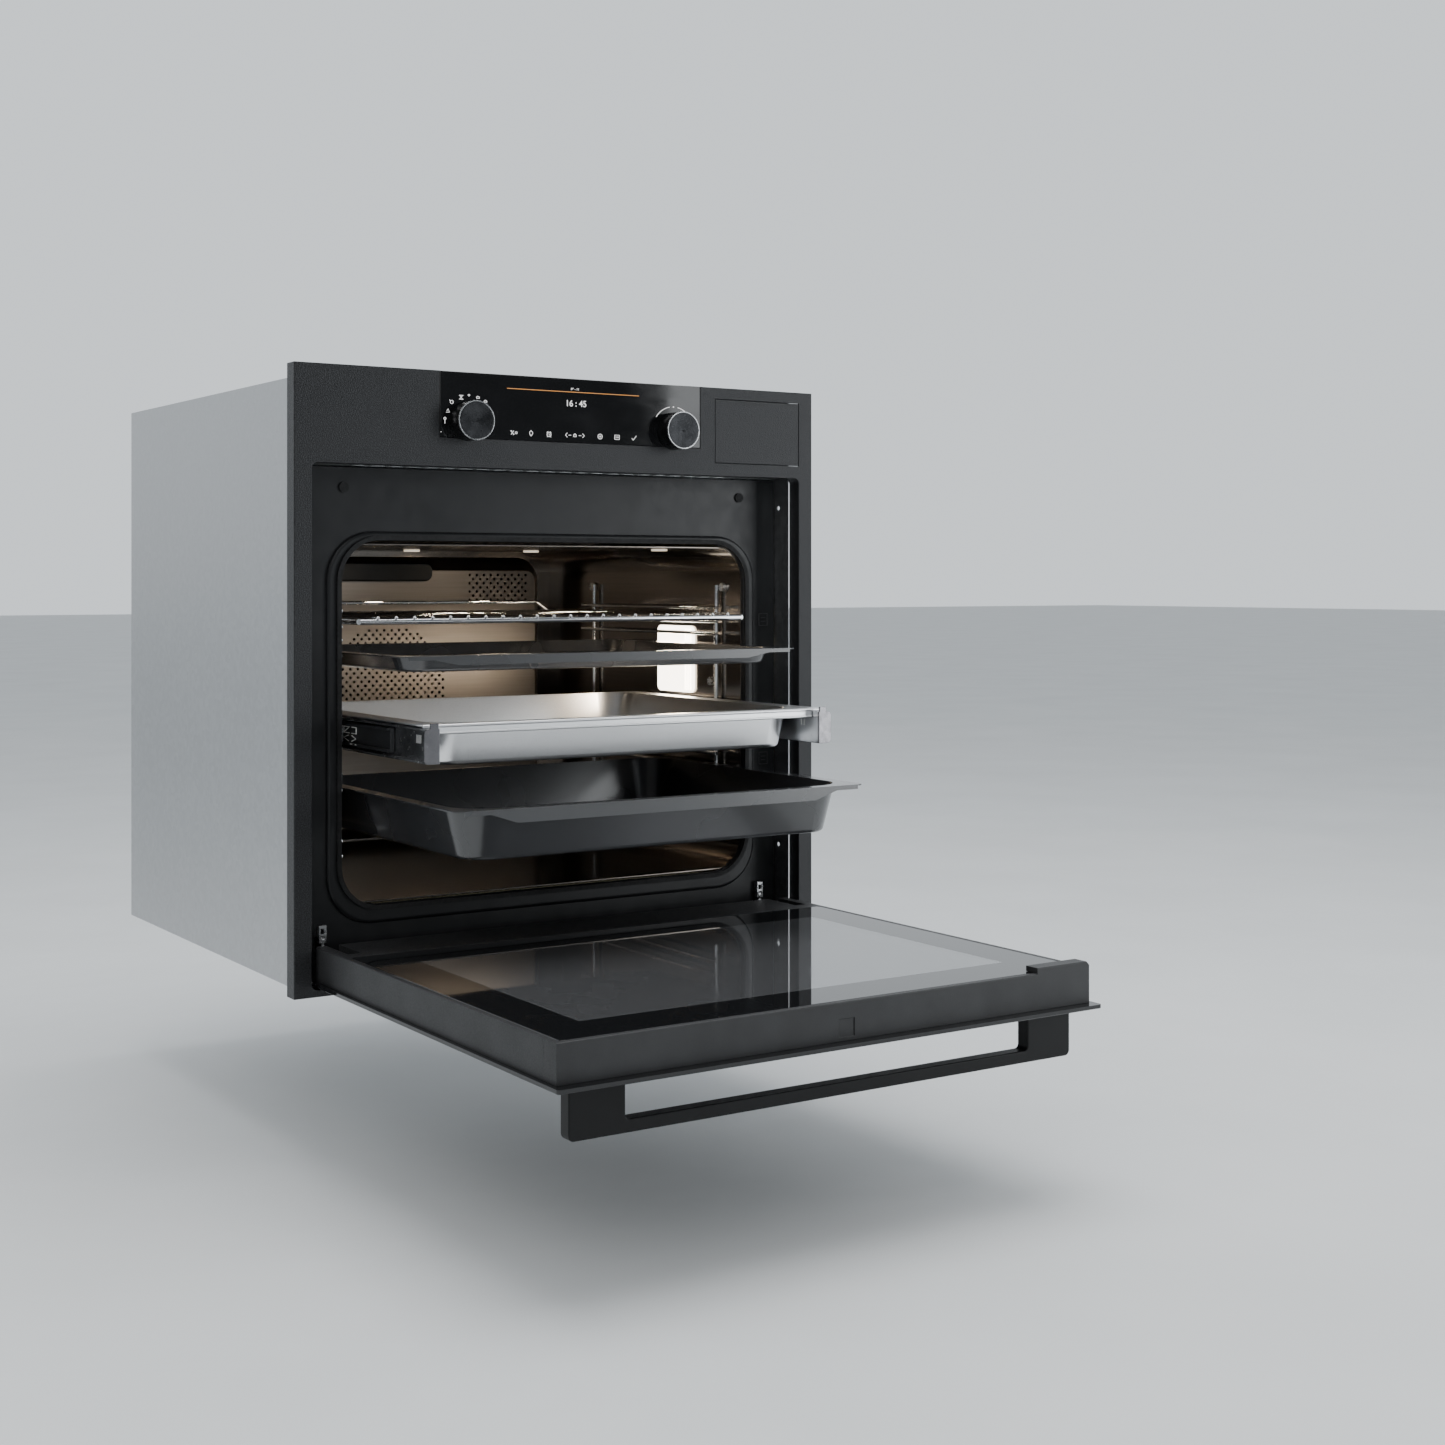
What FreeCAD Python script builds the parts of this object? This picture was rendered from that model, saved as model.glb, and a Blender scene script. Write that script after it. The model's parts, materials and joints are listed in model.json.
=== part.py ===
import FreeCAD, Part
import math
import os
import re
from types import SimpleNamespace
import Sketcher

# Built-in wall oven for a 600 mm cabinet niche, shown open: the door lies level on its hinges and the
# trays are drawn out.  X is to the right, Y runs into the wall, Z is up; the origin is the middle of the
# casing's underside.  Inside the code a place along Y is a depth, counted from the fascia's face.

V = FreeCAD.Vector
doc = FreeCAD.newDocument("wall_oven")

DIMENSIONS = {
    # whole appliance
    "frame_width": 597, "frame_height": 597, "frame_depth": 18, "front_y": -290,
    "case_half": 280, "case_height": 588, "case_end": 560, "case_gauge": 1,
    # opening of the front frame that the door closes
    "mouth_half": 281, "mouth_low": 6.5, "mouth_high": 503.5, "skin": 2,
    # display glass, knobs and tank flap in the control zone
    "glass_left": -149, "glass_right": 152.5, "glass_low": 532, "glass_gauge": 4,
    "knob_x": 119.3, "knob_z": 548.4, "knob_radius": 19.5, "knob_reach": 20.5, "shaft_radius": 3,
    "flap_left": 171.7, "flap_right": 280.5, "flap_low": 517.1, "flap_high": 584.9,
    # cavity
    "plate_depth": 44, "plate_gauge": 2, "hole_half": 235, "hole_low": 75, "hole_high": 431,
    "lip_half": 249.5, "lip_low": 57, "lip_high": 440, "lip_rise": 4, "corner": 40,
    "liner_low": 78, "liner_high": 427, "liner_gauge": 1.2, "back_depth": 484,
    "baffle_depth": 459, "baffle_half": 200, "baffle_low": 96, "baffle_high": 404, "fan_z": 264,
    "lamp_front": 139, "lamp_back": 216, "lamp_low": 264, "lamp_high": 340,
    "lens_radius": 7,
    # side racks and what runs on them
    "post_x": 230, "post_front": 87, "post_back": 361, "wire_x": 221.5,
    "rack_z": 352, "shallow_z": 321.5, "pan_z": 261, "deep_z": 189,
    "guard_half": 155, "guard_splay": 22, "guard_rise": 14, "tray_gauge": 1.2,
    "rim_half": 225, "tray_length": 375, "rack_front": 26, "shallow_front": -75,
    "pan_front": -120, "deep_front": -192, "rail_front": -130, "rail_mid_front": -38, "rail_length": 343,
    # door, lying open
    "hinge_depth": 8, "hinge_z": 17, "door_front": -472.5, "door_back": 13, "door_half": 277,
    "panel_low": 9, "panel_gauge": 3.6, "body_half": 272, "body_front": -461, "body_high": 45,
    "pane_gauge": 4, "pane_half": 266, "pane_front": -455, "pane_back": -57,
    "handle_front": -452, "handle_back": -438.5, "handle_low": -34.4, "handle_thick": 10.6,
    "handle_half": 256.6, "foot_half": 206.5, "hinge_x": 255, "pin_radius": 2,
    "lock_depth": 40.3, "lock_z": 46, "lock_pin": 1.5,
    # water tank
    "tank_left": 177, "tank_right": 275, "tank_low": 521, "tank_high": 579, "tank_back": 290,
}

WORD = re.compile(r"[a-z]\w*")
PLANES = {"XY": ("XY_Plane", 1), "XZ": ("XZ_Plane", -1), "YZ": ("YZ_Plane", 1)}
AXES = {"X": FreeCAD.Rotation(V(0, 1, 0), 90), "Y": FreeCAD.Rotation(V(1, 0, 0), -90),
        "Z": FreeCAD.Rotation()}
nodes = []


def make_sheet():
    """Write the driving dimensions into a spreadsheet and read them back as plain numbers."""
    sheet = doc.addObject("Spreadsheet::Sheet", "Dimensions")
    for row, (alias, number) in enumerate(DIMENSIONS.items(), 1):
        sheet.set(f"A{row}", alias)
        sheet.set(f"B{row}", str(number))
        sheet.setAlias(f"B{row}", alias)
    doc.recompute()
    return SimpleNamespace(**{alias: float(sheet.get(alias)) for alias in DIMENSIONS})


size = make_sheet()


def bind(thing, prop, text):
    """Bind a property to an expression whose words are aliases of the sheet."""
    def address(match):
        return "Dimensions." + match.group() if match.group() in DIMENSIONS else match.group()
    thing.setExpression(prop, WORD.sub(address, str(text)))


def node(thing, label):
    """Name a finished sub-part; the name is also its file's name."""
    thing.Label = label
    nodes.append(thing)
    return thing


# ---------------------------------------------------------------- primitives and booleans

def box(x, y, z):
    """Block between two places along each axis."""
    piece = doc.addObject("Part::Box", "Box")
    for prop, base, (low, high), shift in (("Length", "x", x, "0"), ("Width", "y", y, "front_y"),
                                           ("Height", "z", z, "0")):
        bind(piece, prop, f"({high}) - ({low})")
        bind(piece, f"Placement.Base.{base}", f"{shift} + ({low})")
    return piece


def rod(axis, start, length, radius):
    """Round bar that starts at a place and runs along an axis."""
    piece = doc.addObject("Part::Cylinder", "Rod")
    piece.Placement = FreeCAD.Placement(V(), AXES[axis])
    bind(piece, "Placement.Base.x", start[0])
    bind(piece, "Placement.Base.y", f"front_y + ({start[1]})")
    bind(piece, "Placement.Base.z", start[2])
    bind(piece, "Height", length)
    bind(piece, "Radius", radius)
    return piece


def ball(centre, radius):
    """Round tip at a place."""
    piece = doc.addObject("Part::Sphere", "Ball")
    bind(piece, "Placement.Base.x", centre[0])
    bind(piece, "Placement.Base.y", f"front_y + ({centre[1]})")
    bind(piece, "Placement.Base.z", centre[2])
    bind(piece, "Radius", radius)
    return piece


def fuse(pieces):
    """Join pieces that meet into one solid."""
    joined = doc.addObject("Part::MultiFuse", "Joined")
    joined.Shapes = pieces
    return joined


def group(pieces):
    """Keep separate solids together in one sub-part."""
    kept = doc.addObject("Part::Compound", "Group")
    kept.Links = pieces
    return kept


def cut(base, *tools):
    """Take one or more tools away from a piece."""
    piece = doc.addObject("Part::Cut", "Cut")
    piece.Base = base
    piece.Tool = tools[0] if len(tools) == 1 else group(list(tools))
    return piece


def mirror(source):
    """Left-hand copy of a right-hand piece."""
    copy = doc.addObject("Part::Mirroring", "Mirror")
    copy.Source = source
    copy.Base = V()
    copy.Normal = V(1, 0, 0)
    return copy


def pair(source):
    """A right-hand piece and its left-hand copy in one sub-part."""
    return group([source, mirror(source)])


# ---------------------------------------------------------------- bodies made from sketches

def new_body(name):
    """Body whose own Y is the depth behind the fascia's face."""
    body = doc.addObject("PartDesign::Body", name)
    bind(body, "Placement.Base.y", "front_y")
    return body


def sketch_on(body, plane, level):
    """Empty sketch across the plane's third axis, at a level along it."""
    sketch = body.newObject("Sketcher::SketchObject", body.Name + "_sketch")
    role, sign = PLANES[plane]
    origin_plane = next(item for item in body.Origin.OriginFeatures if item.Role == role)
    sketch.AttachmentSupport = (origin_plane, [""])
    sketch.MapMode = "FlatFace"
    bind(sketch, "AttachmentOffset.Base.z", level if sign > 0 else f"-({level})")
    sketch.addProperty("App::PropertyInteger", "NormalSign")
    sketch.NormalSign = sign
    return sketch


def polygon(sketch, points):
    """Closed outline whose corners are bound to expressions."""
    first, count = sketch.GeometryCount, len(points)
    guess = [V(100 * math.cos(2 * math.pi * i / count), 100 * math.sin(2 * math.pi * i / count), 0)
             for i in range(count)]
    sketch.addGeometry([Part.LineSegment(guess[i], guess[(i + 1) % count]) for i in range(count)], False)
    for i in range(count):
        sketch.addConstraint(Sketcher.Constraint("Coincident", first + i, 2, first + (i + 1) % count, 1))
    for i, place in enumerate(points):
        for kind, text, start in zip(("DistanceX", "DistanceY"), place, guess[i]):
            number = sketch.addConstraint(Sketcher.Constraint(kind, -1, 1, first + i, 1, start))
            bind(sketch, f"Constraints[{number}]", text)


def rectangle(sketch, u, v, radius=None):
    """Rectangle between two places along each of the sketch's axes, with round corners if asked."""
    if radius is None:
        polygon(sketch, [(u[0], v[0]), (u[1], v[0]), (u[1], v[1]), (u[0], v[1])])
        return
    first, start, turn = sketch.GeometryCount, 100, 20
    inner = start - turn
    guess = []
    for side in range(4):
        spin = FreeCAD.Rotation(V(0, 0, 1), 90 * side)
        ends = [spin.multVec(V(x, -start, 0)) for x in (-inner, inner)]
        middle = spin.multVec(V(inner, -inner, 0))
        guess.append(ends)
        angle = math.pi / 2 * (side - 1)
        arc = Part.ArcOfCircle(Part.Circle(middle, V(0, 0, 1), turn), angle, angle + math.pi / 2)
        sketch.addGeometry([Part.LineSegment(*ends), arc], False)
    (left, right), (low, high), r = u, v, f"({radius})"
    corners = [((f"{left} + {r}", low), (f"{right} - {r}", low)),
               ((right, f"{low} + {r}"), (right, f"{high} - {r}")),
               ((f"{right} - {r}", high), (f"{left} + {r}", high)),
               ((left, f"{high} - {r}"), (left, f"{low} + {r}"))]
    for side, ends in enumerate(corners):
        line, arc, following = first + 2 * side, first + 2 * side + 1, first + (2 * side + 2) % 8
        sketch.addConstraint(Sketcher.Constraint("Coincident", line, 2, arc, 1))
        sketch.addConstraint(Sketcher.Constraint("Coincident", arc, 2, following, 1))
        for point, place in enumerate(ends, 1):
            for kind, text, near in zip(("DistanceX", "DistanceY"), place, guess[side][point - 1]):
                number = sketch.addConstraint(Sketcher.Constraint(kind, -1, 1, line, point, near))
                bind(sketch, f"Constraints[{number}]", text)
        middle, near = (f"{right} - {r}", inner) if side < 2 else (f"{left} + {r}", -inner)
        number = sketch.addConstraint(Sketcher.Constraint("DistanceX", -1, 1, arc, 3, near))
        bind(sketch, f"Constraints[{number}]", middle)


def circle(sketch, u, v, radius):
    """Circle with its centre and radius bound to expressions."""
    item = sketch.addGeometry(Part.Circle(V(1, 1, 0), V(0, 0, 1), 5), False)
    for kind, text in (("DistanceX", u), ("DistanceY", v)):
        number = sketch.addConstraint(Sketcher.Constraint(kind, -1, 1, item, 3, 1.0))
        bind(sketch, f"Constraints[{number}]", text)
    number = sketch.addConstraint(Sketcher.Constraint("Radius", item, 5.0))
    bind(sketch, f"Constraints[{number}]", radius)


def pad(body, sketch, length, taper=0):
    """Add material from the sketch towards the positive end of its third axis."""
    feature = body.newObject("PartDesign::Pad", body.Name + "_pad")
    feature.Profile = sketch
    feature.Reversed = sketch.NormalSign < 0
    feature.TaperAngle = taper
    bind(feature, "Length", length)
    return feature


def pocket(body, sketch, length):
    """Remove material from the sketch towards the positive end of its third axis."""
    doc.recompute()
    before = body.Shape.Volume
    feature = body.newObject("PartDesign::Pocket", body.Name + "_pocket")
    feature.Profile = sketch
    feature.Type = "Length"
    feature.Reversed = sketch.NormalSign > 0
    bind(feature, "Length", length)
    doc.recompute()
    if body.Shape.Volume > before - 0.01:
        raise ValueError(f"{body.Name}: a pocket removes nothing")
    return feature


def rect_pad(body, plane, level, u, v, length, taper=0, radius=None):
    """Pad of one rectangle."""
    sketch = sketch_on(body, plane, level)
    rectangle(sketch, u, v, radius)
    return pad(body, sketch, length, taper)


def rect_pocket(body, plane, level, length, *spans, radius=None):
    """Pocket of one or more rectangles, each given by its two spans."""
    sketch = sketch_on(body, plane, level)
    for u, v in spans:
        rectangle(sketch, u, v, radius)
    return pocket(body, sketch, length)


def dress(body, kind, amount, keep):
    """Fillet or chamfer the tip's edges that a test keeps."""
    doc.recompute()
    base = body.Tip
    names = [f"Edge{i}" for i, edge in enumerate(base.Shape.Edges, 1) if keep(edge)]
    if not names:
        raise ValueError(f"{body.Name}: no edge to {kind}")
    feature = body.newObject("PartDesign::" + kind, body.Name + "_" + kind.lower())
    feature.Base = (base, names)
    bind(feature, "Radius" if kind == "Fillet" else "Size", amount)
    doc.recompute()
    return feature


def runs_along(axis, keep=None):
    """Test for straight edges parallel to an axis, with an optional test of their middle."""
    index = "XYZ".index(axis)

    def test(edge):
        bounds = edge.BoundBox
        lengths = [bounds.XLength, bounds.YLength, bounds.ZLength]
        along = lengths.pop(index)
        return along > 0.1 and max(lengths) < 0.01 and (keep is None or keep(edge.CenterOfMass))
    return test


def lies_at(axis, level):
    """Test for edges that lie in the plane across an axis at a level."""
    def test(edge):
        low, high = getattr(edge.BoundBox, axis + "Min"), getattr(edge.BoundBox, axis + "Max")
        return abs(low - level) < 0.01 and abs(high - level) < 0.01
    return test


def span(low, high):
    """The same stretch on the left of the middle plane."""
    return (f"-({high})", f"-({low})")


# ---------------------------------------------------------------- front frame and control zone

def front_frame():
    """Pressed front frame: a skin folded back all round, open for the door, glass and tank flap."""
    body = new_body("frame")
    rect_pad(body, "XZ", "0", ("-frame_width/2", "frame_width/2"), ("0", "frame_height"), "frame_depth")
    rect_pocket(body, "XZ", "0", "frame_depth", (("-mouth_half", "mouth_half"), ("mouth_low", "mouth_high")))
    strip = ("mouth_half + skin", "frame_width/2 - skin")
    inside = ("-frame_width/2 + skin", "frame_width/2 - skin")
    rect_pocket(body, "XZ", "skin", "frame_depth - skin",
                (inside, ("mouth_high + skin", "frame_height - skin")))
    rect_pocket(body, "XZ", "skin", "frame_depth - skin",
                (strip, ("mouth_low", "mouth_high")), (span(*strip), ("mouth_low", "mouth_high")))
    gap = "0.4"
    rect_pocket(body, "XZ", "0", "frame_depth",
                ((f"glass_left - {gap}", f"glass_right + {gap}"), (f"glass_low - {gap}", "frame_height + 1")),
                ((f"flap_left - {gap}", f"flap_right + {gap}"), (f"flap_low - {gap}", f"flap_high + {gap}")))
    dress(body, "Fillet", "6", runs_along("Y", lambda c: abs(abs(c.x) - size.mouth_half) < 0.1
                                          and size.mouth_low - 1 < c.z < size.mouth_high + 1 and c.y < 10))
    outer = size.frame_width / 2
    dress(body, "Chamfer", "0.8", lambda e: lies_at("Y", 0)(e) and abs(abs(e.CenterOfMass.x) - outer) < 0.1)
    node(body, "front_frame")


def display():
    """Flush display glass, the carrier behind it and the screen module in the carrier's window."""
    glass = new_body("glass")
    rect_pad(glass, "XZ", "0", ("glass_left", "glass_right"), ("glass_low", "frame_height"), "glass_gauge")
    for side in (-1, 1):
        sketch = sketch_on(glass, "XZ", "0")
        circle(sketch, f"{side} * knob_x", "knob_z", "7")
        pocket(glass, sketch, "glass_gauge")
    dress(glass, "Chamfer", "0.4", lambda e: lies_at("Y", 0)(e) and abs(e.CenterOfMass.z - size.knob_z) > 12)
    node(glass, "display_glass")

    carrier = box(("glass_left", "glass_right"), ("glass_gauge", "17"), ("glass_low", "frame_height - 1"))
    window = box(("-86", "90"), ("glass_gauge - 1", "18"), ("536", "591"))
    holes = [rod("Y", (f"{side} * knob_x", "glass_gauge - 1", "knob_z"), "20", "8") for side in (-1, 1)]
    node(cut(carrier, window, *holes), "display_carrier")

    screen = box(("-84", "88"), ("glass_gauge + 0.1", "8"), ("538", "589"))
    board = box(("-84", "88"), ("8", "9.6"), ("538", "589"))
    chips = [box((x, f"{x} + 12"), ("9.6", "12"), ("555", "567")) for x in ("-60", "-20", "24", "58")]
    node(fuse([screen, board, *chips]), "display_module")


def knobs():
    """Turning knobs with a shaft into an encoder, and a bright ring pressed on each rim."""
    encoders = []
    for name, side in (("left", -1), ("right", 1)):
        body = new_body("knob_" + name)
        bind(body, "Placement.Base.x", f"{side} * knob_x")
        bind(body, "Placement.Base.z", "knob_z")
        sketch = sketch_on(body, "XY", "0")
        polygon(sketch, [("0", "-knob_reach + 0.9"), ("knob_radius - 3", "-knob_reach + 0.5"),
                         ("knob_radius - 1.2", "-knob_reach + 0.5"),
                         ("knob_radius - 1.2", "-knob_reach + 2.5"), ("knob_radius", "-knob_reach + 2.5"),
                         ("knob_radius", "-0.6"),
                         ("shaft_radius", "-0.6"), ("shaft_radius", "22"), ("0", "22")])
        turned = body.newObject("PartDesign::Revolution", body.Name + "_turned")
        turned.Profile = sketch
        turned.ReferenceAxis = (sketch, ["V_Axis"])
        turned.Angle = 360
        node(body, "knob_" + name)
        centre = (f"{side} * knob_x", "-knob_reach", "knob_z")
        ring = cut(rod("Y", centre, "2.4", "knob_radius"), rod("Y", centre, "3", "knob_radius - 1.1"))
        node(ring, "knob_ring_" + name)
        mouth = (f"{side} * knob_x", "17.2", "knob_z")
        shell = fuse([rod("Y", mouth, "8", "7.5"),
                      box((f"{side} * knob_x - 9", f"{side} * knob_x + 9"), ("19", "27"),
                          ("knob_z - 9", "knob_z + 9"))])
        encoders.append(cut(shell, rod("Y", (mouth[0], "17", "knob_z"), "6", "shaft_radius + 0.05")))
    node(group(encoders), "knob_encoders")


def water_tank():
    """Water drawer: flap, tank and lid slide out of a housing behind the flap's opening."""
    flap = new_body("flap")
    rect_pad(flap, "XZ", "0", ("flap_left", "flap_right"), ("flap_low", "flap_high"), "skin")
    rect_pad(flap, "XZ", "skin", ("tank_left + 2", "tank_right - 2"), ("tank_low + 2", "tank_high - 2"),
             "8 - skin")
    dress(flap, "Chamfer", "0.5", lies_at("Y", 0))
    node(flap, "tank_front_flap")

    tank = new_body("tank")
    rect_pad(tank, "XZ", "8", ("tank_left", "tank_right"), ("tank_low", "tank_high"), "tank_back - 8")
    rect_pocket(tank, "XY", "tank_low + 2", "tank_high - tank_low",
                (("tank_left + 2", "tank_right - 2"), ("10", "tank_back - 2")))
    dress(tank, "Fillet", "4", runs_along("Y", lambda c: c.z < size.tank_low + 1))
    node(tank, "water_tank")

    lid = box(("tank_left - 1", "tank_right + 1"), ("8", "tank_back + 1"), ("tank_high", "tank_high + 3"))
    filler = rod("Z", ("(tank_left + tank_right)/2", "60", "tank_high - 1"), "6", "16")
    dip = rod("Z", ("tank_right - 16", "tank_back - 16", "tank_high - 1"), "6", "5")
    node(cut(lid, filler, dip), "tank_lid")

    shell = box(("tank_left - 4", "case_half - 1.5"), ("frame_depth + 0.5", "tank_back + 12"),
                ("tank_low - 3", "tank_high + 6.5"))
    bay = box(("tank_left - 2", "tank_right + 1.8"), ("frame_depth", "tank_back + 10"),
              ("tank_low - 1.5", "tank_high + 5"))
    node(cut(shell, bay), "tank_housing")


# ---------------------------------------------------------------- cavity

def cavity_front():
    """Enamelled front plate with a raised, rounded lip around the cavity's mouth and two hinge slots."""
    body = new_body("plate")
    rect_pad(body, "XZ", "plate_depth", ("-case_half + 1.5", "case_half - 1.5"), ("1.5", "mouth_high - 1"),
             "plate_gauge")
    rect_pad(body, "XZ", "plate_depth - lip_rise", ("-lip_half", "lip_half"), ("lip_low", "lip_high"),
             "lip_rise + plate_gauge", radius="corner + 8")
    rect_pocket(body, "XZ", "plate_depth - lip_rise", "lip_rise + plate_gauge",
                (("-hole_half", "hole_half"), ("hole_low", "hole_high")), radius="corner")
    dress(body, "Fillet", "3.4", lies_at("Y", size.plate_depth - size.lip_rise))
    slot = ("hinge_x - 5", "hinge_x + 5.5")
    rect_pocket(body, "XZ", "plate_depth", "plate_gauge", (slot, ("22", "48")), (span(*slot), ("22", "48")))
    for side in (-1, 1):
        sketch = sketch_on(body, "XZ", "plate_depth")
        circle(sketch, f"{side} * 231", "482.6", "3")
        pocket(body, sketch, "plate_gauge")
    node(body, "cavity_front_plate")

    seal = new_body("seal")
    rect_pad(seal, "XZ", "plate_depth - lip_rise - 3", ("-hole_half - 5", "hole_half + 5"),
             ("hole_low - 5", "hole_high + 5"), "3", radius="corner + 5")
    rect_pocket(seal, "XZ", "plate_depth - lip_rise - 3", "3",
                (("-hole_half - 0.5", "hole_half + 0.5"), ("hole_low - 0.5", "hole_high + 0.5")),
                radius="corner + 0.5")
    node(seal, "door_seal")

    buffers = []
    for side in (-1, 1):
        place = (f"{side} * 231", "plate_depth - 2", "482.6")
        buffers.append(fuse([rod("Y", place, "2", "5"), rod("Y", place, "8", "2.8")]))
    node(group(buffers), "door_buffers")


def cavity_shell():
    """Steel muffle: a sleeve open at the front, pierced for the lamps, and its rear wall."""
    body = new_body("liner")
    start = "plate_depth + plate_gauge"
    rect_pad(body, "XZ", start, ("-hole_half - liner_gauge", "hole_half + liner_gauge"),
             ("liner_low - liner_gauge", "liner_high + liner_gauge"), f"back_depth - ({start})",
             radius="24 + liner_gauge")
    rect_pocket(body, "XZ", start, f"back_depth - ({start})",
                (("-hole_half", "hole_half"), ("liner_low", "liner_high")), radius="24")
    rect_pocket(body, "YZ", "hole_half - 1", "liner_gauge + 2",
                (("lamp_front + 2", "lamp_back - 2"), ("lamp_low + 2", "lamp_high - 2")))
    for x, depth in CEILING_LAMPS:
        sketch = sketch_on(body, "XY", "liner_high - 1")
        circle(sketch, x, depth, "lens_radius + 0.4")
        pocket(body, sketch, "liner_gauge + 2")
    node(body, "cavity_liner")

    wall = box(("-hole_half - liner_gauge", "hole_half + liner_gauge"),
               ("back_depth", "back_depth + liner_gauge"),
               ("liner_low - liner_gauge", "liner_high + liner_gauge"))
    passages = [rod("Y", (x, "back_depth - 1", LEG_HEIGHT), "4", "3.5") for x in LEG_PLACES]
    node(cut(wall, rod("Y", ("0", "back_depth - 1", "fan_z"), "5", "10"), *passages), "cavity_back")


CEILING_LAMPS = (("-28", "330"), ("118", "315"), ("188", "140"))
LEG_PLACES, LEG_HEIGHT = ("-11", "11"), "fan_z + 91.3"


def lamps():
    """Ribbed side lamp glass and three small ceiling lenses."""
    glass = new_body("lamp")
    rect_pad(glass, "YZ", "hole_half - 2.5", ("lamp_front", "lamp_back"), ("lamp_low", "lamp_high"), "2.5",
             radius="7")
    rect_pad(glass, "YZ", "hole_half", ("lamp_front + 2.5", "lamp_back - 2.5"),
             ("lamp_low + 2.5", "lamp_high - 2.5"), "3")
    grooves = [((f"lamp_front + {step}", f"lamp_front + {step} + 1.6"), ("lamp_low + 3", "lamp_high - 3"))
               for step in (4, 8, 12, 16)]
    rect_pocket(glass, "YZ", "hole_half - 2.5", "1.2", *grooves)
    node(glass, "side_lamp_glass")
    lenses = []
    for x, depth in CEILING_LAMPS:
        flange = rod("Z", (x, depth, "liner_high - 2"), "2", "lens_radius + 2")
        lenses.append(fuse([flange, rod("Z", (x, depth, "liner_high - 2"), "5", "lens_radius")]))
    node(group(lenses), "ceiling_lamps")


def perforation(sketch, centre_x, low_z, high_z, half_width):
    """Staggered rows of small round holes; half_width gives each row's reach from the centre."""
    pitch, rise, radius = 9.7, 5.1, 1.65
    holes = []
    for row in range(int((high_z - low_z) / rise) + 1):
        z = low_z + row * rise
        reach = half_width(z)
        first = -math.floor(reach / pitch) - 1
        for column in range(first, -first + 1):
            x = (column + 0.5 * (row % 2)) * pitch
            if abs(x) <= reach:
                holes.append(Part.Circle(V(centre_x + x, z, 0), V(0, 0, 1), radius))
    sketch.addGeometry(holes, False)


def drafted_block(name, level, length, u, v, taper, side_radius, plane="XY"):
    """Tapered block with rounded upright corners, for dished sheet parts."""
    block = new_body(name)
    rect_pad(block, plane, level, u, v, length, taper, side_radius)
    return block


def rear_baffle():
    """Dished rear baffle with a round intake grille and a small rectangular one, and the steam outlet."""
    high, flare = "back_depth - baffle_depth", 34
    outer = drafted_block("dish", "baffle_depth", high, ("-baffle_half", "baffle_half"),
                          ("baffle_low", "baffle_high"), flare, "14", "XZ")
    inner = drafted_block("dish_hollow", "baffle_depth + liner_gauge", high,
                          ("-baffle_half + 0.7", "baffle_half - 0.7"),
                          ("baffle_low + 0.7", "baffle_high - 0.7"), flare, "13.3", "XZ")
    holes = new_body("dish_holes")
    sketch = sketch_on(holes, "XZ", "baffle_depth - 1")
    reach = 75
    perforation(sketch, 0, size.fan_z - 70, size.fan_z + 70,
                lambda z: math.sqrt(max(0, reach ** 2 - (z - size.fan_z) ** 2)))
    perforation(sketch, 148, 368, 400, lambda z: 42)
    pad(holes, sketch, "liner_gauge + 2")
    node(cut(outer, inner, holes), "fan_baffle")

    cover = new_body("steam_cover")
    rect_pad(cover, "XZ", "baffle_depth - 9", ("-190", "55"), ("391", "413"), "8.8", radius="9")
    dress(cover, "Fillet", "2", lies_at("Y", size.baffle_depth - 9))
    node(cover, "steam_outlet_cover")


def heating():
    """Ring element around the fan, concealed top element, and the fan with its motor."""
    ring = doc.addObject("Part::Torus", "Ring")
    ring.Placement = FreeCAD.Placement(V(), AXES["Y"])
    bind(ring, "Placement.Base.y", "front_y + back_depth - 12")
    bind(ring, "Placement.Base.z", "fan_z")
    bind(ring, "Radius1", "92")
    bind(ring, "Radius2", "3.2")
    legs = [rod("Y", (x, "back_depth - 12", LEG_HEIGHT), "40", "3") for x in LEG_PLACES]
    node(fuse([ring, *legs]), "ring_element")

    bars = [box((f"{x} - 3", f"{x} + 3"), ("90", "440"), ("liner_high + 3", "liner_high + 8"))
            for x in ("-200", "-130", "-75", "75")]
    ends = [box(("-203", "78"), (depth, f"{depth} + 6"), ("liner_high + 3", "liner_high + 8"))
            for depth in ("84", "440")]
    node(fuse(bars + ends), "top_heater")

    fan = new_body("fan")
    sketch = sketch_on(fan, "XZ", "back_depth - 4")
    circle(sketch, "0", "fan_z", "74")
    pad(fan, sketch, "1.2")
    sketch = sketch_on(fan, "XZ", "back_depth - 18")
    circle(sketch, "0", "fan_z", "12")
    pad(fan, sketch, "15")
    sketch = sketch_on(fan, "XZ", "back_depth - 3")
    circle(sketch, "0", "fan_z", "4")
    pad(fan, sketch, "30")
    blade = rect_pad(fan, "XZ", "back_depth - 19", ("30", "72"), ("fan_z - 0.6", "fan_z + 0.6"), "15.5")
    doc.recompute()
    node(blade_ring(fan, blade, 12), "convection_fan")

    motor = fuse([rod("Y", ("0", "back_depth + 6", "fan_z"), "46", "32"),
                  rod("Y", ("0", "back_depth + 52", "fan_z"), "12", "18"),
                  box(("-52", "52"), ("back_depth + 6", "back_depth + 8"), ("fan_z - 20", "fan_z + 20"))])
    node(cut(motor, rod("Y", ("0", "back_depth + 5", "fan_z"), "24", "4.05")), "fan_motor")


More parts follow.
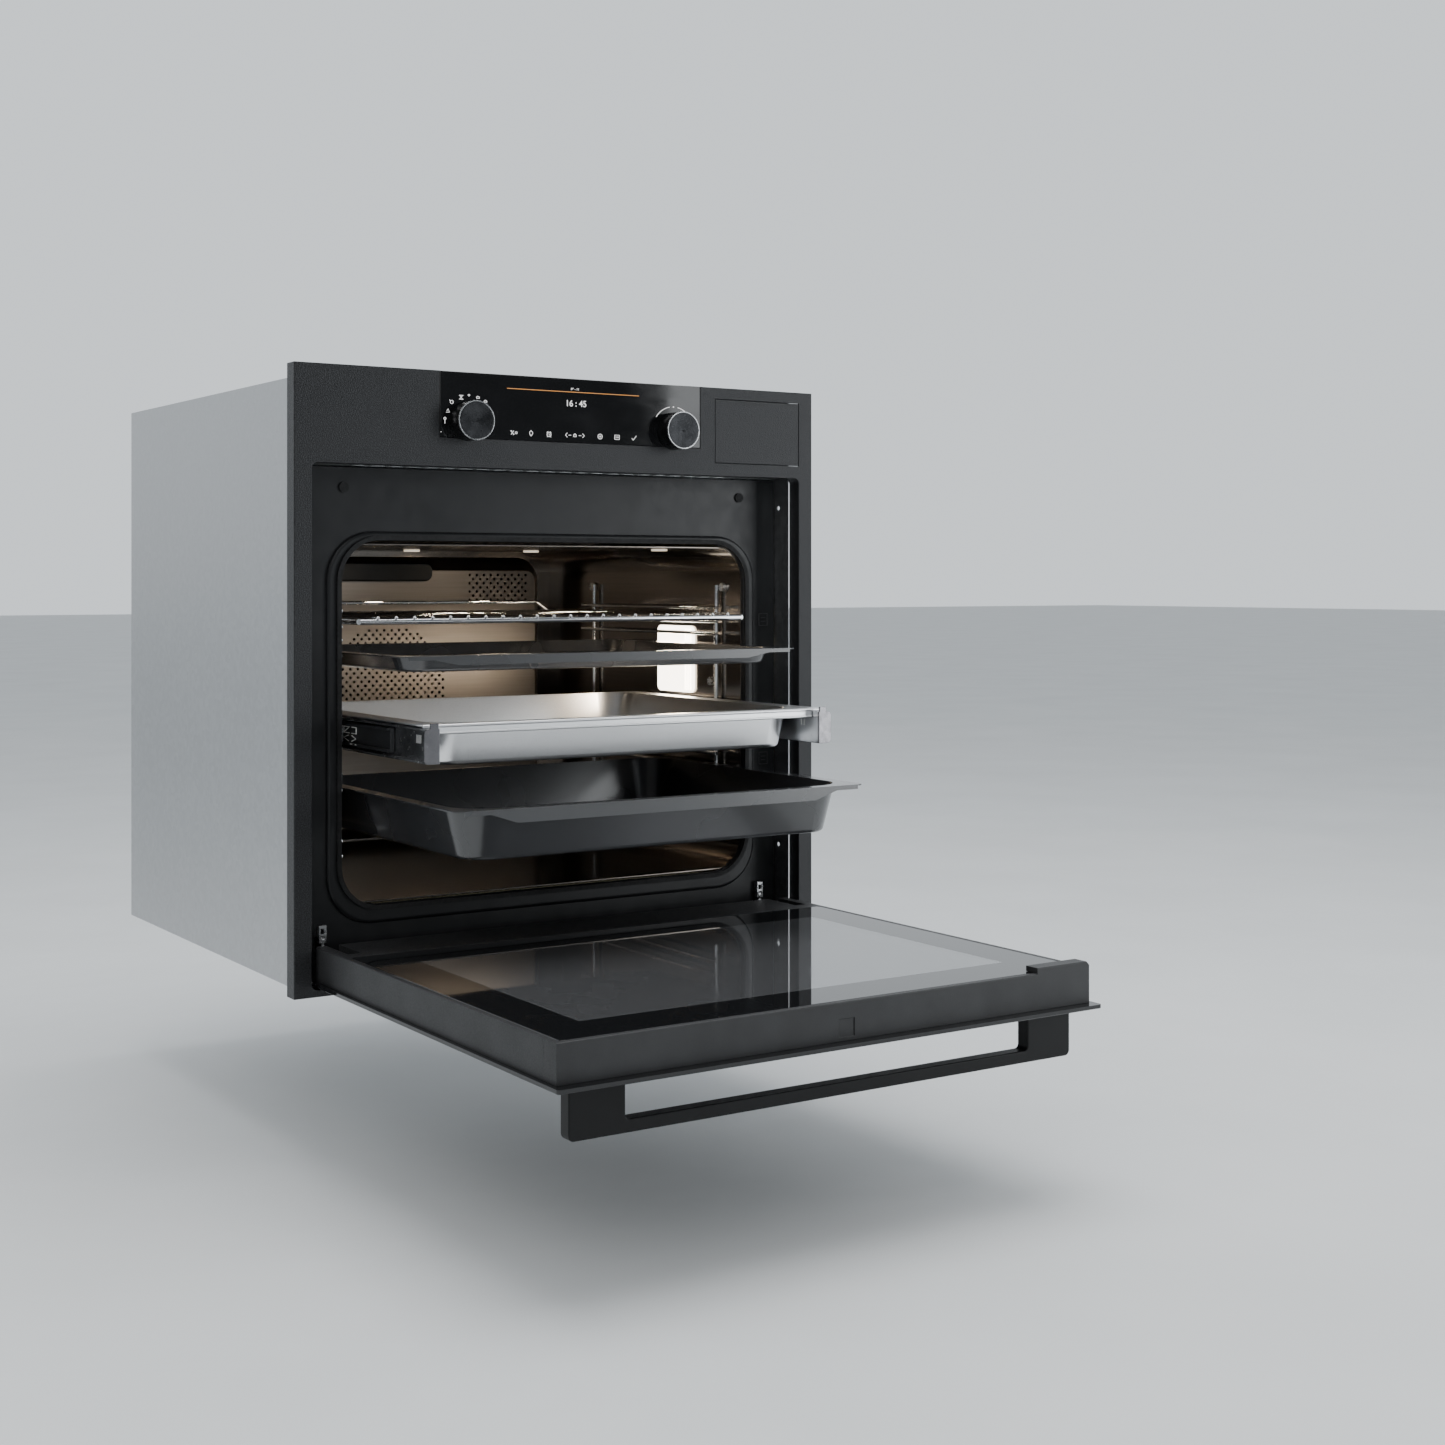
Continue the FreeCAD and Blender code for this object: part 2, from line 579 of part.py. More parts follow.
def blade_ring(body, blade, count):
    """Repeat a blade around the body's shaft."""
    axis_sketch = sketch_on(body, "XZ", "0")
    circle(axis_sketch, "0", "fan_z", "1")
    pattern = body.newObject("PartDesign::PolarPattern", body.Name + "_blades")
    pattern.Originals = [blade]
    line = body.newObject("PartDesign::Line", body.Name + "_shaft_line")
    line.AttachmentSupport = (axis_sketch, ["Edge1"])
    line.MapMode = "AxisOfCurvature"
    pattern.Axis = (line, [""])
    pattern.Angle = 360
    pattern.Occurrences = count
    body.Tip = pattern
    return body


def insulation():
    """Mineral wool around the muffle, relieved for lamps, motor and elements."""
    wool = box(("-262", "262"), ("60", "back_depth + 24"), ("56", "456"))
    muffle = box(("-238", "238"), ("50", "back_depth + 2"), ("74", "liner_high + 10"))
    motor = rod("Y", ("0", "back_depth", "fan_z"), "40", "55")
    leads = box(("-20", "20"), ("back_depth", "back_depth + 40"), ("fan_z + 40", "fan_z + 100"))
    boiler = box(("115", "225"), ("back_depth + 4", "back_depth + 40"), ("110", "270"))
    lamp = box(("230", "270"), ("lamp_front - 4", "lamp_back + 4"), ("lamp_low - 4", "lamp_high + 4"))
    node(cut(wool, muffle, motor, leads, boiler, lamp), "insulation")


# ---------------------------------------------------------------- side racks, rails, trays

LEVELS = ("120", "deep_z - 3.8", "shallow_z - 3.7", "rack_z - 5.4")


def side_racks():
    """Chromed side racks: two posts, a runner wire and a guard wire at each level, and their screws."""
    wires = [rod("Z", ("post_x", depth, "104"), "283", "2.5") for depth in ("post_front", "post_back")]
    for level in LEVELS:
        for height in (level, f"{level} + 15.2"):
            wires.append(rod("Y", ("wire_x", "post_front - 14", height), "post_back - post_front + 28", "2"))
            for depth in ("post_front", "post_back"):
                wires.append(rod("X", ("wire_x", depth, height), "post_x - wire_x", "2"))
    right = fuse(wires)
    node(right, "side_rack_right")
    node(mirror(right), "side_rack_left")
    screws = []
    for depth, height in (("post_front - 8", "384.6"), ("post_front + 16", "279"), ("post_back + 9", "384.6")):
        head = rod("X", ("hole_half - 4", depth, height), "3.9", "4.6")
        slot = box(("hole_half - 4.5", "hole_half - 2.8"), (f"{depth} - 5", f"{depth} + 5"),
                   (f"{height} - 0.6", f"{height} + 0.6"))
        screws.append(cut(head, slot))
    right_screws = group(screws)
    node(pair(right_screws), "rack_screws")


def telescopic_rails():
    """Two three-part runners: fixed strip on the racks, middle member, and the sliding channel."""
    fixed = [box(("222", "226.5"), ("post_front - 22", "post_back + 34"), ("234", "250"))]
    for depth in ("post_front", "post_back"):
        for low, high in ((f"{depth} - 4.2", f"{depth} - 2.7"), (f"{depth} + 2.7", f"{depth} + 4.2")):
            fixed.append(box(("226", "233"), (low, high), ("235", "249")))
    node(pair(fuse(fixed)), "rail_fixed")

    member = new_body("rail_member")
    rect_pad(member, "YZ", "214.2", ("rail_mid_front", "rail_mid_front + rail_length - 12"),
             ("230.5", "253.5"), "7.2")
    rect_pocket(member, "YZ", "218.5", "3",
                (("rail_mid_front", "rail_mid_front + rail_length - 12"), ("233", "251")))
    node(pair(member), "rail_middle")

    channel = new_body("rail_channel")
    rect_pad(channel, "YZ", "212", ("rail_front", "rail_front + rail_length"), ("226", "258"), "12")
    rect_pocket(channel, "YZ", "213.6", "11", (("rail_front", "rail_front + rail_length"), ("228", "256")))
    rect_pad(channel, "YZ", "212", ("rail_front - 2", "rail_front"), ("226", "258"), "15")
    rect_pad(channel, "XY", "258", ("213", "221"), ("rail_front - 2", "rail_front"), "5")
    dress(channel, "Fillet", "4", runs_along("Y", lambda c: c.x > 226))
    node(pair(channel), "rail_moving")


def wavy_lip(name, level, front, deep, shallow):
    """Front lip that hangs deeper between the corners, with an easy curve at each end."""
    apron = new_body(name + "_lip")
    sketch = sketch_on(apron, "XZ", front)
    edge, bend = "rim_half - 9", 190
    polygon(sketch, [(f"-({edge})", level), (f"-({edge})", f"{level} - {shallow}"),
                     (f"-{bend}", f"{level} - {shallow}"), (f"-{bend} + 26", f"{level} - {deep}"),
                     (f"{bend} - 26", f"{level} - {deep}"), (f"{bend}", f"{level} - {shallow}"),
                     (edge, f"{level} - {shallow}"), (edge, level)])
    pad(apron, sketch, "tray_gauge")
    dress(apron, "Fillet", f"{deep} - {shallow}", runs_along("Y", lambda c: abs(c.x) < size.rim_half - 12))
    return [apron]


def rolled_lip(level, front):
    """Straight front lip below a rolled edge, with a bead along its foot."""
    plate = box(("-211", "211"), (front, f"{front} + tray_gauge"), (f"{level} - 9", level))
    edge = rod("X", ("-rim_half + 2", f"{front} + 0.6", f"{level} - 1.3"), "2 * (rim_half - 2)", "1.5")
    bead = rod("X", ("-211", f"{front} + 0.6", f"{level} - 8"), "422", "1.2")
    return [plate, edge, bead]


def tray(name, level, front, low_half, drop, taper, lip):
    """Pressed tray: drafted well, flat rim with rounded corners, and the pieces of its front lip."""
    gauge = "tray_gauge"
    well = (f"{front} + 22", f"{front} + tray_length - 14")
    outer = drafted_block(name + "_well", f"{level} - {drop}", drop, (f"-{low_half}", low_half), well, taper,
                          "26")
    dress(outer, "Fillet", "5", lies_at("Z", getattr(size, level) - drop))
    inner = drafted_block(name + "_hollow", f"{level} - {drop} + {gauge}", drop,
                          (f"-{low_half} + {gauge}", f"{low_half} - {gauge}"),
                          (f"{well[0]} + {gauge}", f"{well[1]} - {gauge}"), taper, "25")
    dress(inner, "Fillet", "4", lies_at("Z", getattr(size, level) - drop + size.tray_gauge))
    rim = new_body(name + "_rim")
    rect_pad(rim, "XY", f"{level} - {gauge}", ("-rim_half", "rim_half"), (front, f"{front} + tray_length"),
             gauge, radius="9")
    return cut(fuse([outer, rim, *lip]), inner)


def trays():
    """Deep enamelled tray, steel pan and shallow enamelled tray."""
    lip = wavy_lip("deep", "deep_z", "deep_front", 13, 4.5)
    node(tray("deep", "deep_z", "deep_front", 201, 48, 14, lip), "deep_tray")
    lip = rolled_lip("pan_z", "pan_front")
    node(tray("pan", "pan_z", "pan_front", 196, 40, 12, lip), "steel_pan")
    lip = wavy_lip("shallow", "shallow_z", "shallow_front", 9, 4)
    node(tray("shallow", "shallow_z", "shallow_front", 207, 16, 20, lip), "shallow_tray")


def wire_rack():
    """Grid shelf: heavy frame, thin bars with round tips, and a guard with splayed ends at the back."""
    front, back, side = "rack_front", "rack_front + tray_length - 30", "rim_half - 3"
    pieces = [rod("X", (f"-({side})", depth, "rack_z"), f"2 * ({side})", "3") for depth in (front, back)]
    pieces += [rod("Y", (f"{sign}({side})", front, "rack_z"), "tray_length - 30", "3") for sign in ("", "-")]
    count, pitch = 22, 19.4
    for i in range(count):
        x = (i - (count - 1) / 2) * pitch
        pieces.append(rod("Y", (str(x), f"{front} - 1.5", "rack_z + 3.6"), "tray_length - 28", "1.5"))
        pieces.append(ball((str(x), f"{front} - 1.5", "rack_z + 3.6"), "2.1"))
    pieces.append(rod("X", ("-guard_half", back, "rack_z + guard_rise"), "2 * guard_half", "2.2"))
    for side_sign in (-1, 1):
        pieces.append(ball((f"{side_sign} * guard_half", back, "rack_z + guard_rise"), "2.2"))
        leg = rod("Z", (f"{side_sign} * (guard_half + guard_splay)", back, "rack_z"),
                  "sqrt(guard_splay^2 + guard_rise^2)", "2.2")
        leg.Placement.Rotation.Axis = V(0, -side_sign, 0)
        bind(leg, "Placement.Rotation.Angle", "atan(guard_splay / guard_rise)")
        pieces.append(leg)
    node(fuse(pieces), "wire_rack")


# ---------------------------------------------------------------- door

def door_glass():
    """Outer panel, middle pane and inner pane."""
    outer = new_body("outer_panel")
    rect_pad(outer, "XY", "panel_low", ("-door_half", "door_half"), ("door_front", "door_back"),
             "panel_gauge")
    dress(outer, "Fillet", "3", runs_along("Z"))
    dress(outer, "Chamfer", "0.5", lies_at("Z", size.panel_low))
    node(outer, "door_outer_panel")

    middle = new_body("middle_pane")
    rect_pad(middle, "XY", "26.2", ("-246", "246"), ("-431", "-58"), "3.2")
    dress(middle, "Fillet", "4", runs_along("Z"))
    node(middle, "door_middle_glass")

    inner = new_body("inner_pane")
    rect_pad(inner, "XY", "body_high - pane_gauge", ("-pane_half", "pane_half"), ("pane_front", "pane_back"),
             "pane_gauge")
    dress(inner, "Fillet", "5", runs_along("Z"))
    dress(inner, "Chamfer", "0.5", lies_at("Z", size.body_high))
    node(inner, "door_inner_glass")


def door_frame():
    """Door frame with stepped seats for the panes and hollows for the hinges, and the top trim.

    The trim carries one raised cap, on its right end.
    """
    low = "panel_low + panel_gauge"
    high = f"body_high - ({low})"
    body = new_body("door_frame_body")
    rect_pad(body, "XY", low, ("-body_half", "body_half"), ("-440", "door_back"), high)
    rect_pocket(body, "XY", low, high, (("-236", "236"), ("-421", "-62")))
    rect_pocket(body, "XY", "26.2", "body_high - 26.2", (("-247", "247"), ("-432", "-57.3")))
    rect_pocket(body, "XY", "body_high - pane_gauge", "pane_gauge",
                (("-pane_half - 0.4", "pane_half + 0.4"), ("-440", "pane_back + 0.4")))
    rect_pocket(body, "XY", low, "28", (("-243", "243"), ("-52", "door_back - 5")))
    slot = ("hinge_x - 6.5", "hinge_x + 6.5")
    for depths, height in ((("-40", "door_back"), high), (("-160", "-40"), "18")):
        rect_pocket(body, "XY", low, height, (slot, depths), (span(*slot), depths))
    dress(body, "Fillet", "1.5", runs_along("Y", lambda c: abs(abs(c.x) - size.body_half) < 0.1 and c.z > 40))
    node(body, "door_frame")

    trim = new_body("trim")
    rect_pad(trim, "XY", low, ("-body_half", "body_half"), ("body_front", "-440.2"), high)
    rect_pocket(trim, "XY", "body_high - pane_gauge", "pane_gauge",
                (("-pane_half - 0.4", "pane_half + 0.4"), ("pane_front - 0.4", "-440.2")))
    rect_pocket(trim, "XZ", "body_front", "0.8", (("-8", "8"), ("16", "31")))
    cap = ("210", "body_half")
    rect_pad(trim, "XY", "body_high", cap, ("body_front", "pane_front - 0.4"), "5")
    rect_pad(trim, "XY", "body_high + 0.3", cap, ("pane_front - 0.4", "-446"), "4.7")
    dress(trim, "Chamfer", "3.4", runs_along("Y", lambda c: c.x > size.body_half - 0.1 and c.z > 48))
    dress(trim, "Fillet", "1", runs_along("X", lambda c: abs(c.y - size.body_front) < 0.1
                                          and c.z > size.body_high - 0.1))
    node(trim, "door_top_trim")


def door_handle():
    """Bar handle with a broad foot at each end, in one piece."""
    body = new_body("handle")
    sketch = sketch_on(body, "XZ", "handle_front")
    inner = "handle_low + handle_thick"
    polygon(sketch, [("-handle_half", "panel_low"), ("-handle_half", "handle_low"),
                     ("handle_half", "handle_low"), ("handle_half", "panel_low"), ("foot_half", "panel_low"),
                     ("foot_half", inner), ("-foot_half", inner), ("-foot_half", "panel_low")])
    pad(body, sketch, "handle_back - handle_front")
    dress(body, "Fillet", "5", runs_along("Y", lambda c: c.z < size.handle_low + 1))
    top = size.handle_low + size.handle_thick
    dress(body, "Fillet", "4", runs_along("Y", lambda c: abs(c.z - top) < 0.5))
    faces = [lies_at("Y", level) for level in (size.handle_front, size.handle_back)]
    dress(body, "Fillet", "1.2", lambda edge: any(face(edge) for face in faces))
    node(body, "handle_bar")


def hinges():
    """Hinge hardware: fixed arms, lock levers, and the door's channels with their riveted pins."""
    arm = new_body("hinge_arm")
    sketch = sketch_on(arm, "YZ", "hinge_x - 1.5")
    polygon(sketch, [("hinge_depth + 1", "hinge_z - 3.4"), ("24", "17"), ("44", "25"), ("66", "25"),
                     ("66", "20"), ("70", "20"), ("70", "38"), ("47", "38"), ("lock_depth + 3.4", "41"),
                     ("lock_depth + 3.4", "lock_z"), ("lock_depth - 3.4", "lock_z"),
                     ("lock_depth - 3.4", "41"), ("35", "38.5"), ("20", "28"),
                     ("hinge_depth - 1", "hinge_z + 3.4")])
    pad(arm, sketch, "3")
    for depth, height, radius in (("hinge_depth", "hinge_z", "4"), ("lock_depth", "lock_z", "3.4")):
        sketch = sketch_on(arm, "YZ", "hinge_x - 1.5")
        circle(sketch, depth, height, radius)
        pad(arm, sketch, "3")
    for depth, height, radius in (("hinge_depth", "hinge_z", "pin_radius + 0.05"),
                                  ("lock_depth", "lock_z", "lock_pin + 0.05")):
        sketch = sketch_on(arm, "YZ", "hinge_x - 1.5")
        circle(sketch, depth, height, radius)
        pocket(arm, sketch, "3")
    node(pair(arm), "hinge_arms")

    cheeks = [box((f"hinge_x {x}", f"hinge_x {x} + 1.5"), ("lock_depth - 3.4", "lock_depth + 3.1"),
                  ("lock_z - 3", "lock_z + 14")) for x in ("- 3.6", "+ 2.1")]
    bridge = box(("hinge_x - 3.6", "hinge_x + 3.6"), ("lock_depth - 3.4", "lock_depth - 1.9"),
                 ("lock_z + 3.7", "lock_z + 14"))
    eye = box(("hinge_x - 2.4", "hinge_x + 2.4"), ("lock_depth - 4", "lock_depth - 1"),
              ("lock_z + 6", "lock_z + 11"))
    pivot = rod("X", ("hinge_x - 3.6", "lock_depth", "lock_z"), "7.2", "lock_pin")
    lever = cut(fuse([*cheeks, bridge, pivot]), eye)
    node(lever, "hinge_lock_right")
    node(mirror(lever), "hinge_lock_left")

    low = "panel_low + panel_gauge + 0.2"
    walls = [box((f"hinge_x {x}", f"hinge_x {x} + 1.4"), ("-150", "door_back - 1"), (low, "27"))
             for x in ("- 6.3", "+ 4.9")]
    web = box(("hinge_x - 6.3", "hinge_x + 6.3"), ("-150", "-42"), (low, f"{low} + 1.2"))
    spring = rod("Y", ("hinge_x", "-140", "20.5"), "96", "3")
    anchor = box(("hinge_x - 6", "hinge_x + 6"), ("-142", "-139"), (low, "26"))
    pin = rod("X", ("hinge_x - 6.3", "hinge_depth", "hinge_z"), "12.6", "pin_radius")
    node(pair(fuse([*walls, web, spring, anchor, pin])), "hinge_channels")


# ---------------------------------------------------------------- casing and what stands in it

def casing():
    """Sheet casing: two sides with fixing holes, top, bottom, vented back, and its screws."""
    inner = "case_half - case_gauge"
    side = new_body("case_side")
    rect_pad(side, "YZ", inner, ("frame_depth", "case_end"), ("0", "case_height"), "case_gauge")
    for height in ("100", "472"):
        sketch = sketch_on(side, "YZ", inner)
        circle(sketch, "36", height, "2.25")
        pocket(side, sketch, "case_gauge")
    node(side, "case_right")
    node(mirror(side), "case_left")

    across = (f"-({inner})", inner)
    node(box(across, ("frame_depth", "case_end"), ("0", "case_gauge")), "case_bottom")
    top = box(across, ("frame_depth", "case_end"), ("case_height - case_gauge", "case_height"))
    vents = [box((f"{x}", f"{x} + 5"), ("430", "500"), ("case_height - 3", "case_height + 1"))
             for x in range(-200, 201, 25)]
    node(cut(top, *vents), "case_top")

    back = new_body("case_rear")
    rect_pad(back, "XZ", "case_end - case_gauge", across, ("case_gauge", "case_height - case_gauge"),
             "case_gauge")
    slots = [((f"{x}", f"{x} + 4"), ("480", "530")) for x in range(20, 221, 14)]
    rect_pocket(back, "XZ", "case_end - case_gauge", "case_gauge", *slots)
    sketch = sketch_on(back, "XZ", "case_end - case_gauge")
    circle(sketch, "-200", "552", "9")
    pocket(back, sketch, "case_gauge")
    node(back, "case_back")

    heads = [rod("Y", (f"{x}", "case_end", f"{z}"), "1.8", "3.6")
             for x in (-265, 0, 265) for z in (14, 300, 572)]
    heads += [rod("Z", (f"{x}", f"{y}", "case_height"), "1.8", "3.6")
              for x in (-265, 265) for y in (40, 290, 540)]
    node(group(heads), "case_screws")


def cooling():
    """Air duct above the cavity with its ribbed outlet over the door, and the cooling blower."""
    floor = box(("-272", "272"), ("plate_depth + 3", "500"), ("466", "467.2"))
    roof = box(("-272", "tank_left - 6"), ("plate_depth + 3", "380"), ("503.6", "504.8"))
    walls = [box((x, f"{x} + 1.2"), ("plate_depth + 3", "500"), ("466", "504.8"))
             for x in ("-272", "tank_left - 6")]
    hood = box(("-272", "272"), ("frame_depth + 0.5", "plate_depth + 3"),
               ("mouth_high + 0.1", "mouth_high + 2.1"))
    slots = [box((f"{x}", f"{x} + 16.5"), ("25", "39"), ("mouth_high - 1", "mouth_high + 4"))
             for x in range(-225, 205, 19)]
    node(cut(fuse([floor, roof, *walls, hood]), *slots), "air_duct")

    shell = box(("-118", "118"), ("392", "470"), ("470", "544"))
    bore = rod("X", ("-113", "431", "507"), "226", "34")
    mouth = box(("-100", "100"), ("380", "431"), ("474", "500"))
    intake = box(("-100", "100"), ("415", "447"), ("530", "550"))
    node(cut(shell, bore, mouth, intake), "blower_housing")
    wheel = [rod("X", (x, "431", "507"), "2", "29") for x in ("-100", "-1", "98")]
    wheel.append(rod("X", ("-110", "431", "507"), "220", "3"))
    count = 16
    for i in range(count):
        turn = 2 * math.pi * i / count
        y, z = 26 * math.cos(turn), 26 * math.sin(turn)
        wheel.append(rod("X", ("-100", f"431 + {y:.3f}", f"507 + {z:.3f}"), "200", "1.6"))
    node(fuse(wheel), "blower_wheel")


def services():
    """Power board, mains inlet with its gland, steam boiler and water pump."""
    board = box(("-262", "-128"), ("140", "330"), ("512", "513.6"))
    relays = [box((f"{x}", f"{x} + 18"), (f"{y}", f"{y} + 26"), ("513.6", "530"))
              for x in (-252, -222, -192) for y in (160, 210, 260)]
    node(fuse([board, *relays, rod("Z", ("-150", "200", "513.6"), "26", "14")]), "power_board")

    block = box(("-232", "-168"), ("500", "548"), ("534", "570"))
    gland = fuse([rod("Y", ("-200", "548", "552"), "16", "8.8"),
                  rod("Y", ("-200", "case_end", "552"), "6", "12")])
    node(cut(fuse([block, gland]), rod("Y", ("-200", "530", "552"), "40", "5")), "terminal_block")

    boiler = fuse([rod("Z", ("170", "back_depth + 42", "120"), "130", "28"),
                   rod("Z", ("170", "back_depth + 42", "110"), "150", "7")])
    node(boiler, "steam_boiler")
    pump = fuse([rod("Y", ("226", "318", "544"), "56", "19"), rod("Y", ("226", "374", "544"), "14", "5"),
                 box(("206", "246"), ("322", "360"), ("522", "526"))])
    node(pump, "water_pump")


def write_parts():
    """Check every object, then write one file per sub-part."""
    doc.recompute()
    bad = [item.Name for item in doc.Objects if "Invalid" in item.State or "Error" in item.State]
    bad += [item.Label for item in nodes if item.Shape.isNull() or not item.Shape.isValid()]
    if bad:
        raise ValueError("these objects failed: " + ", ".join(bad))
    os.makedirs("parts", exist_ok=True)
    for item in nodes:
        item.Shape.exportStep(f"parts/{item.Label}.step")
    print(len(nodes), "sub-parts")


for build in (front_frame, display, knobs, water_tank, cavity_front, cavity_shell, lamps, rear_baffle, heating,
              insulation, side_racks, telescopic_rails, trays, wire_rack, door_glass, door_frame, door_handle,
              hinges, casing, cooling, services):
    build()
write_parts()
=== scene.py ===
import json
import math
import bpy
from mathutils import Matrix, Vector


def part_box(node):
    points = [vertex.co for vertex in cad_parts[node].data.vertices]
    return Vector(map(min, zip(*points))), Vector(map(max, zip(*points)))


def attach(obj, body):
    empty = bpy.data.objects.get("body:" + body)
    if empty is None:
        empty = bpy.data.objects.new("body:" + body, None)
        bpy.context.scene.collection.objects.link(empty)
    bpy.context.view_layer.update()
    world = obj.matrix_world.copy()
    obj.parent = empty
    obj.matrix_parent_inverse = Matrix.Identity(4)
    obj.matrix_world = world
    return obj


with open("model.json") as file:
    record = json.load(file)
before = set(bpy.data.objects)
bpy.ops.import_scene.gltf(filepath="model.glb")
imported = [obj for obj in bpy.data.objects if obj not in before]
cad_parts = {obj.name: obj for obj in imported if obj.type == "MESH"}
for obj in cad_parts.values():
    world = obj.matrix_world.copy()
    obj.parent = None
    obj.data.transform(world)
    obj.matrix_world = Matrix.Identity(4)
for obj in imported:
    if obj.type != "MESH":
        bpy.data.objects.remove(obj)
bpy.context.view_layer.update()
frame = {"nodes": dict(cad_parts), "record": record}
scene = bpy.context.scene
NODES = frame["nodes"]
FACE_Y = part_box("front_frame")[0].y                  # the fascia's face
MM = 0.001


# ---------------------------------------------------------------- material nodes

class Finish:
    """One procedural material: a Principled shader and short calls that add texture to it."""

    def __init__(self, name, colour, roughness, metallic=0.0, **sockets):
        self.material = bpy.data.materials.new(name)
        self.material.use_nodes = True
        self.tree = self.material.node_tree
        self.shader = self.tree.nodes["Principled BSDF"]
        self.put("Base Color", (*colour, 1.0))
        self.put("Roughness", roughness)
        self.put("Metallic", metallic)
        for socket, value in sockets.items():
            self.put(socket.replace("_", " "), value)
        self.normal = None

    def put(self, socket, value):
        """Set one of the shader's own sockets."""
        self.shader.inputs[socket].default_value = value

    def add(self, kind, **settings):
        """New node with settings for its properties or, with a leading I_, its inputs."""
        node = self.tree.nodes.new("ShaderNode" + kind)
        for key, value in settings.items():
            if key.startswith("I_"):
                node.inputs[key[2:]].default_value = value
            else:
                setattr(node, key, value)
        return node

    def link(self, source, target):
        self.tree.links.new(source, target)

    def where(self, stretch=(1, 1, 1), centre=(0, 0, 0)):
        """Place on the object, stretched along each axis about a centre."""
        coordinates = self.add("TexCoord")
        mapping = self.add("Mapping")
        mapping.inputs["Scale"].default_value = stretch
        mapping.inputs["Location"].default_value = [-c * s for c, s in zip(centre, stretch)]
        self.link(coordinates.outputs["Object"], mapping.inputs["Vector"])
        return mapping.outputs["Vector"]

    def noise(self, scale, detail=2.0, stretch=(1, 1, 1), roughness=0.5):
        """Noise value between 0 and 1."""
        node = self.add("TexNoise", I_Scale=scale, I_Detail=detail, I_Roughness=roughness)
        self.link(self.where(stretch), node.inputs["Vector"])
        return node.outputs["Fac"]

    def spread(self, value, low, high, start=0.3, end=0.7):
        """Map a texture's value onto a range."""
        node = self.add("MapRange")
        node.inputs["From Min"].default_value = start
        node.inputs["From Max"].default_value = end
        node.inputs["To Min"].default_value = low
        node.inputs["To Max"].default_value = high
        self.link(value, node.inputs["Value"])
        return node.outputs["Result"]

    def tint(self, value, dark, light, start=0.3, end=0.7, target="Base Color"):
        """Colour the surface between two colours by a texture's value."""
        ramp = self.add("ValToRGB")
        ramp.color_ramp.elements[0].position = start
        ramp.color_ramp.elements[0].color = (*dark, 1)
        ramp.color_ramp.elements[1].position = end
        ramp.color_ramp.elements[1].color = (*light, 1)
        self.link(value, ramp.inputs["Fac"])
        self.link(ramp.outputs["Color"], self.shader.inputs[target])

    def rough(self, value, low, high, start=0.3, end=0.7):
        """Vary the roughness by a texture's value."""
        self.link(self.spread(value, low, high, start, end), self.shader.inputs["Roughness"])

    def bump(self, value, distance, strength=1.0):
        """Raise the surface by a texture's value; further calls add up."""
        node = self.add("Bump", I_Strength=strength, I_Distance=distance)
        self.link(value, node.inputs["Height"])
        if self.normal is not None:
            self.link(self.normal, node.inputs["Normal"])
        self.normal = node.outputs["Normal"]
        self.link(self.normal, self.shader.inputs["Normal"])

    def soft_edges(self, radius):
        """Catch the light along sharp edges as if they were rounded; comes before any bump."""
        node = self.add("Bevel", samples=6, I_Radius=radius)
        self.normal = node.outputs["Normal"]
        self.link(self.normal, self.shader.inputs["Normal"])


# ---------------------------------------------------------------- finishes

def powder_black(name):
    """Black steel with the fine, sparkling grain of a powder coat."""
    colour = (0.016, 0.0165, 0.018)
    finish = Finish(name, colour, 0.4, 0.3, Specular_IOR_Level=0.48)
    finish.soft_edges(0.0009)
    grain = finish.noise(1000, 3)
    finish.tint(grain, [c * 0.45 for c in colour], [c * 2.6 for c in colour], 0.38, 0.72)
    finish.rough(grain, 0.3, 0.48)
    finish.bump(grain, 0.0005, 0.75)
    finish.bump(finish.noise(380, 2), 0.0004, 0.4)
    return finish.material


def satin_enamel(name):
    """Fired black enamel: smooth, with a faint orange peel."""
    finish = Finish(name, (0.013, 0.0135, 0.015), 0.36, 0.0, Specular_IOR_Level=0.36)
    finish.soft_edges(0.0012)
    finish.rough(finish.noise(60, 4), 0.31, 0.42)
    finish.bump(finish.noise(420, 2), 0.00006, 0.5)
    finish.tint(finish.noise(22, 3), (0.010, 0.0105, 0.0115), (0.016, 0.0165, 0.018))
    return finish.material


def tray_enamel():
    """Glossier enamel of the trays, a little uneven as fired enamel is."""
    finish = Finish("tray_enamel", (0.012, 0.013, 0.016), 0.2, 0.0, Specular_IOR_Level=0.8,
                    Coat_Weight=0.5, Coat_Roughness=0.12)
    finish.soft_edges(0.0003)
    finish.tint(finish.noise(8, 2), (0.022, 0.023, 0.0255), (0.025, 0.026, 0.029))
    finish.rough(finish.noise(12, 2), 0.26, 0.28)
    finish.bump(finish.noise(1500, 1), 0.000002, 0.2)
    return finish.material


def brushed(name, colour, low, high, stretch, grain, depth, wave=0.0):
    """Brushed metal whose grain runs along the axis with the smallest stretch."""
    finish = Finish(name, colour, (low + high) / 2, 1.0, Anisotropic=0.45)
    finish.soft_edges(0.0007)
    lines = finish.noise(grain, 2, stretch, 0.6)
    finish.rough(lines, low, high, 0.3, 0.7)
    darker = [c * 0.93 for c in colour]
    lighter = [c * 1.04 for c in colour]
    finish.tint(finish.noise(grain / 2, 2, stretch), darker, lighter)
    finish.bump(lines, depth, 0.25)
    if wave:
        finish.bump(finish.noise(9, 2), wave, 0.6)
    return finish.material


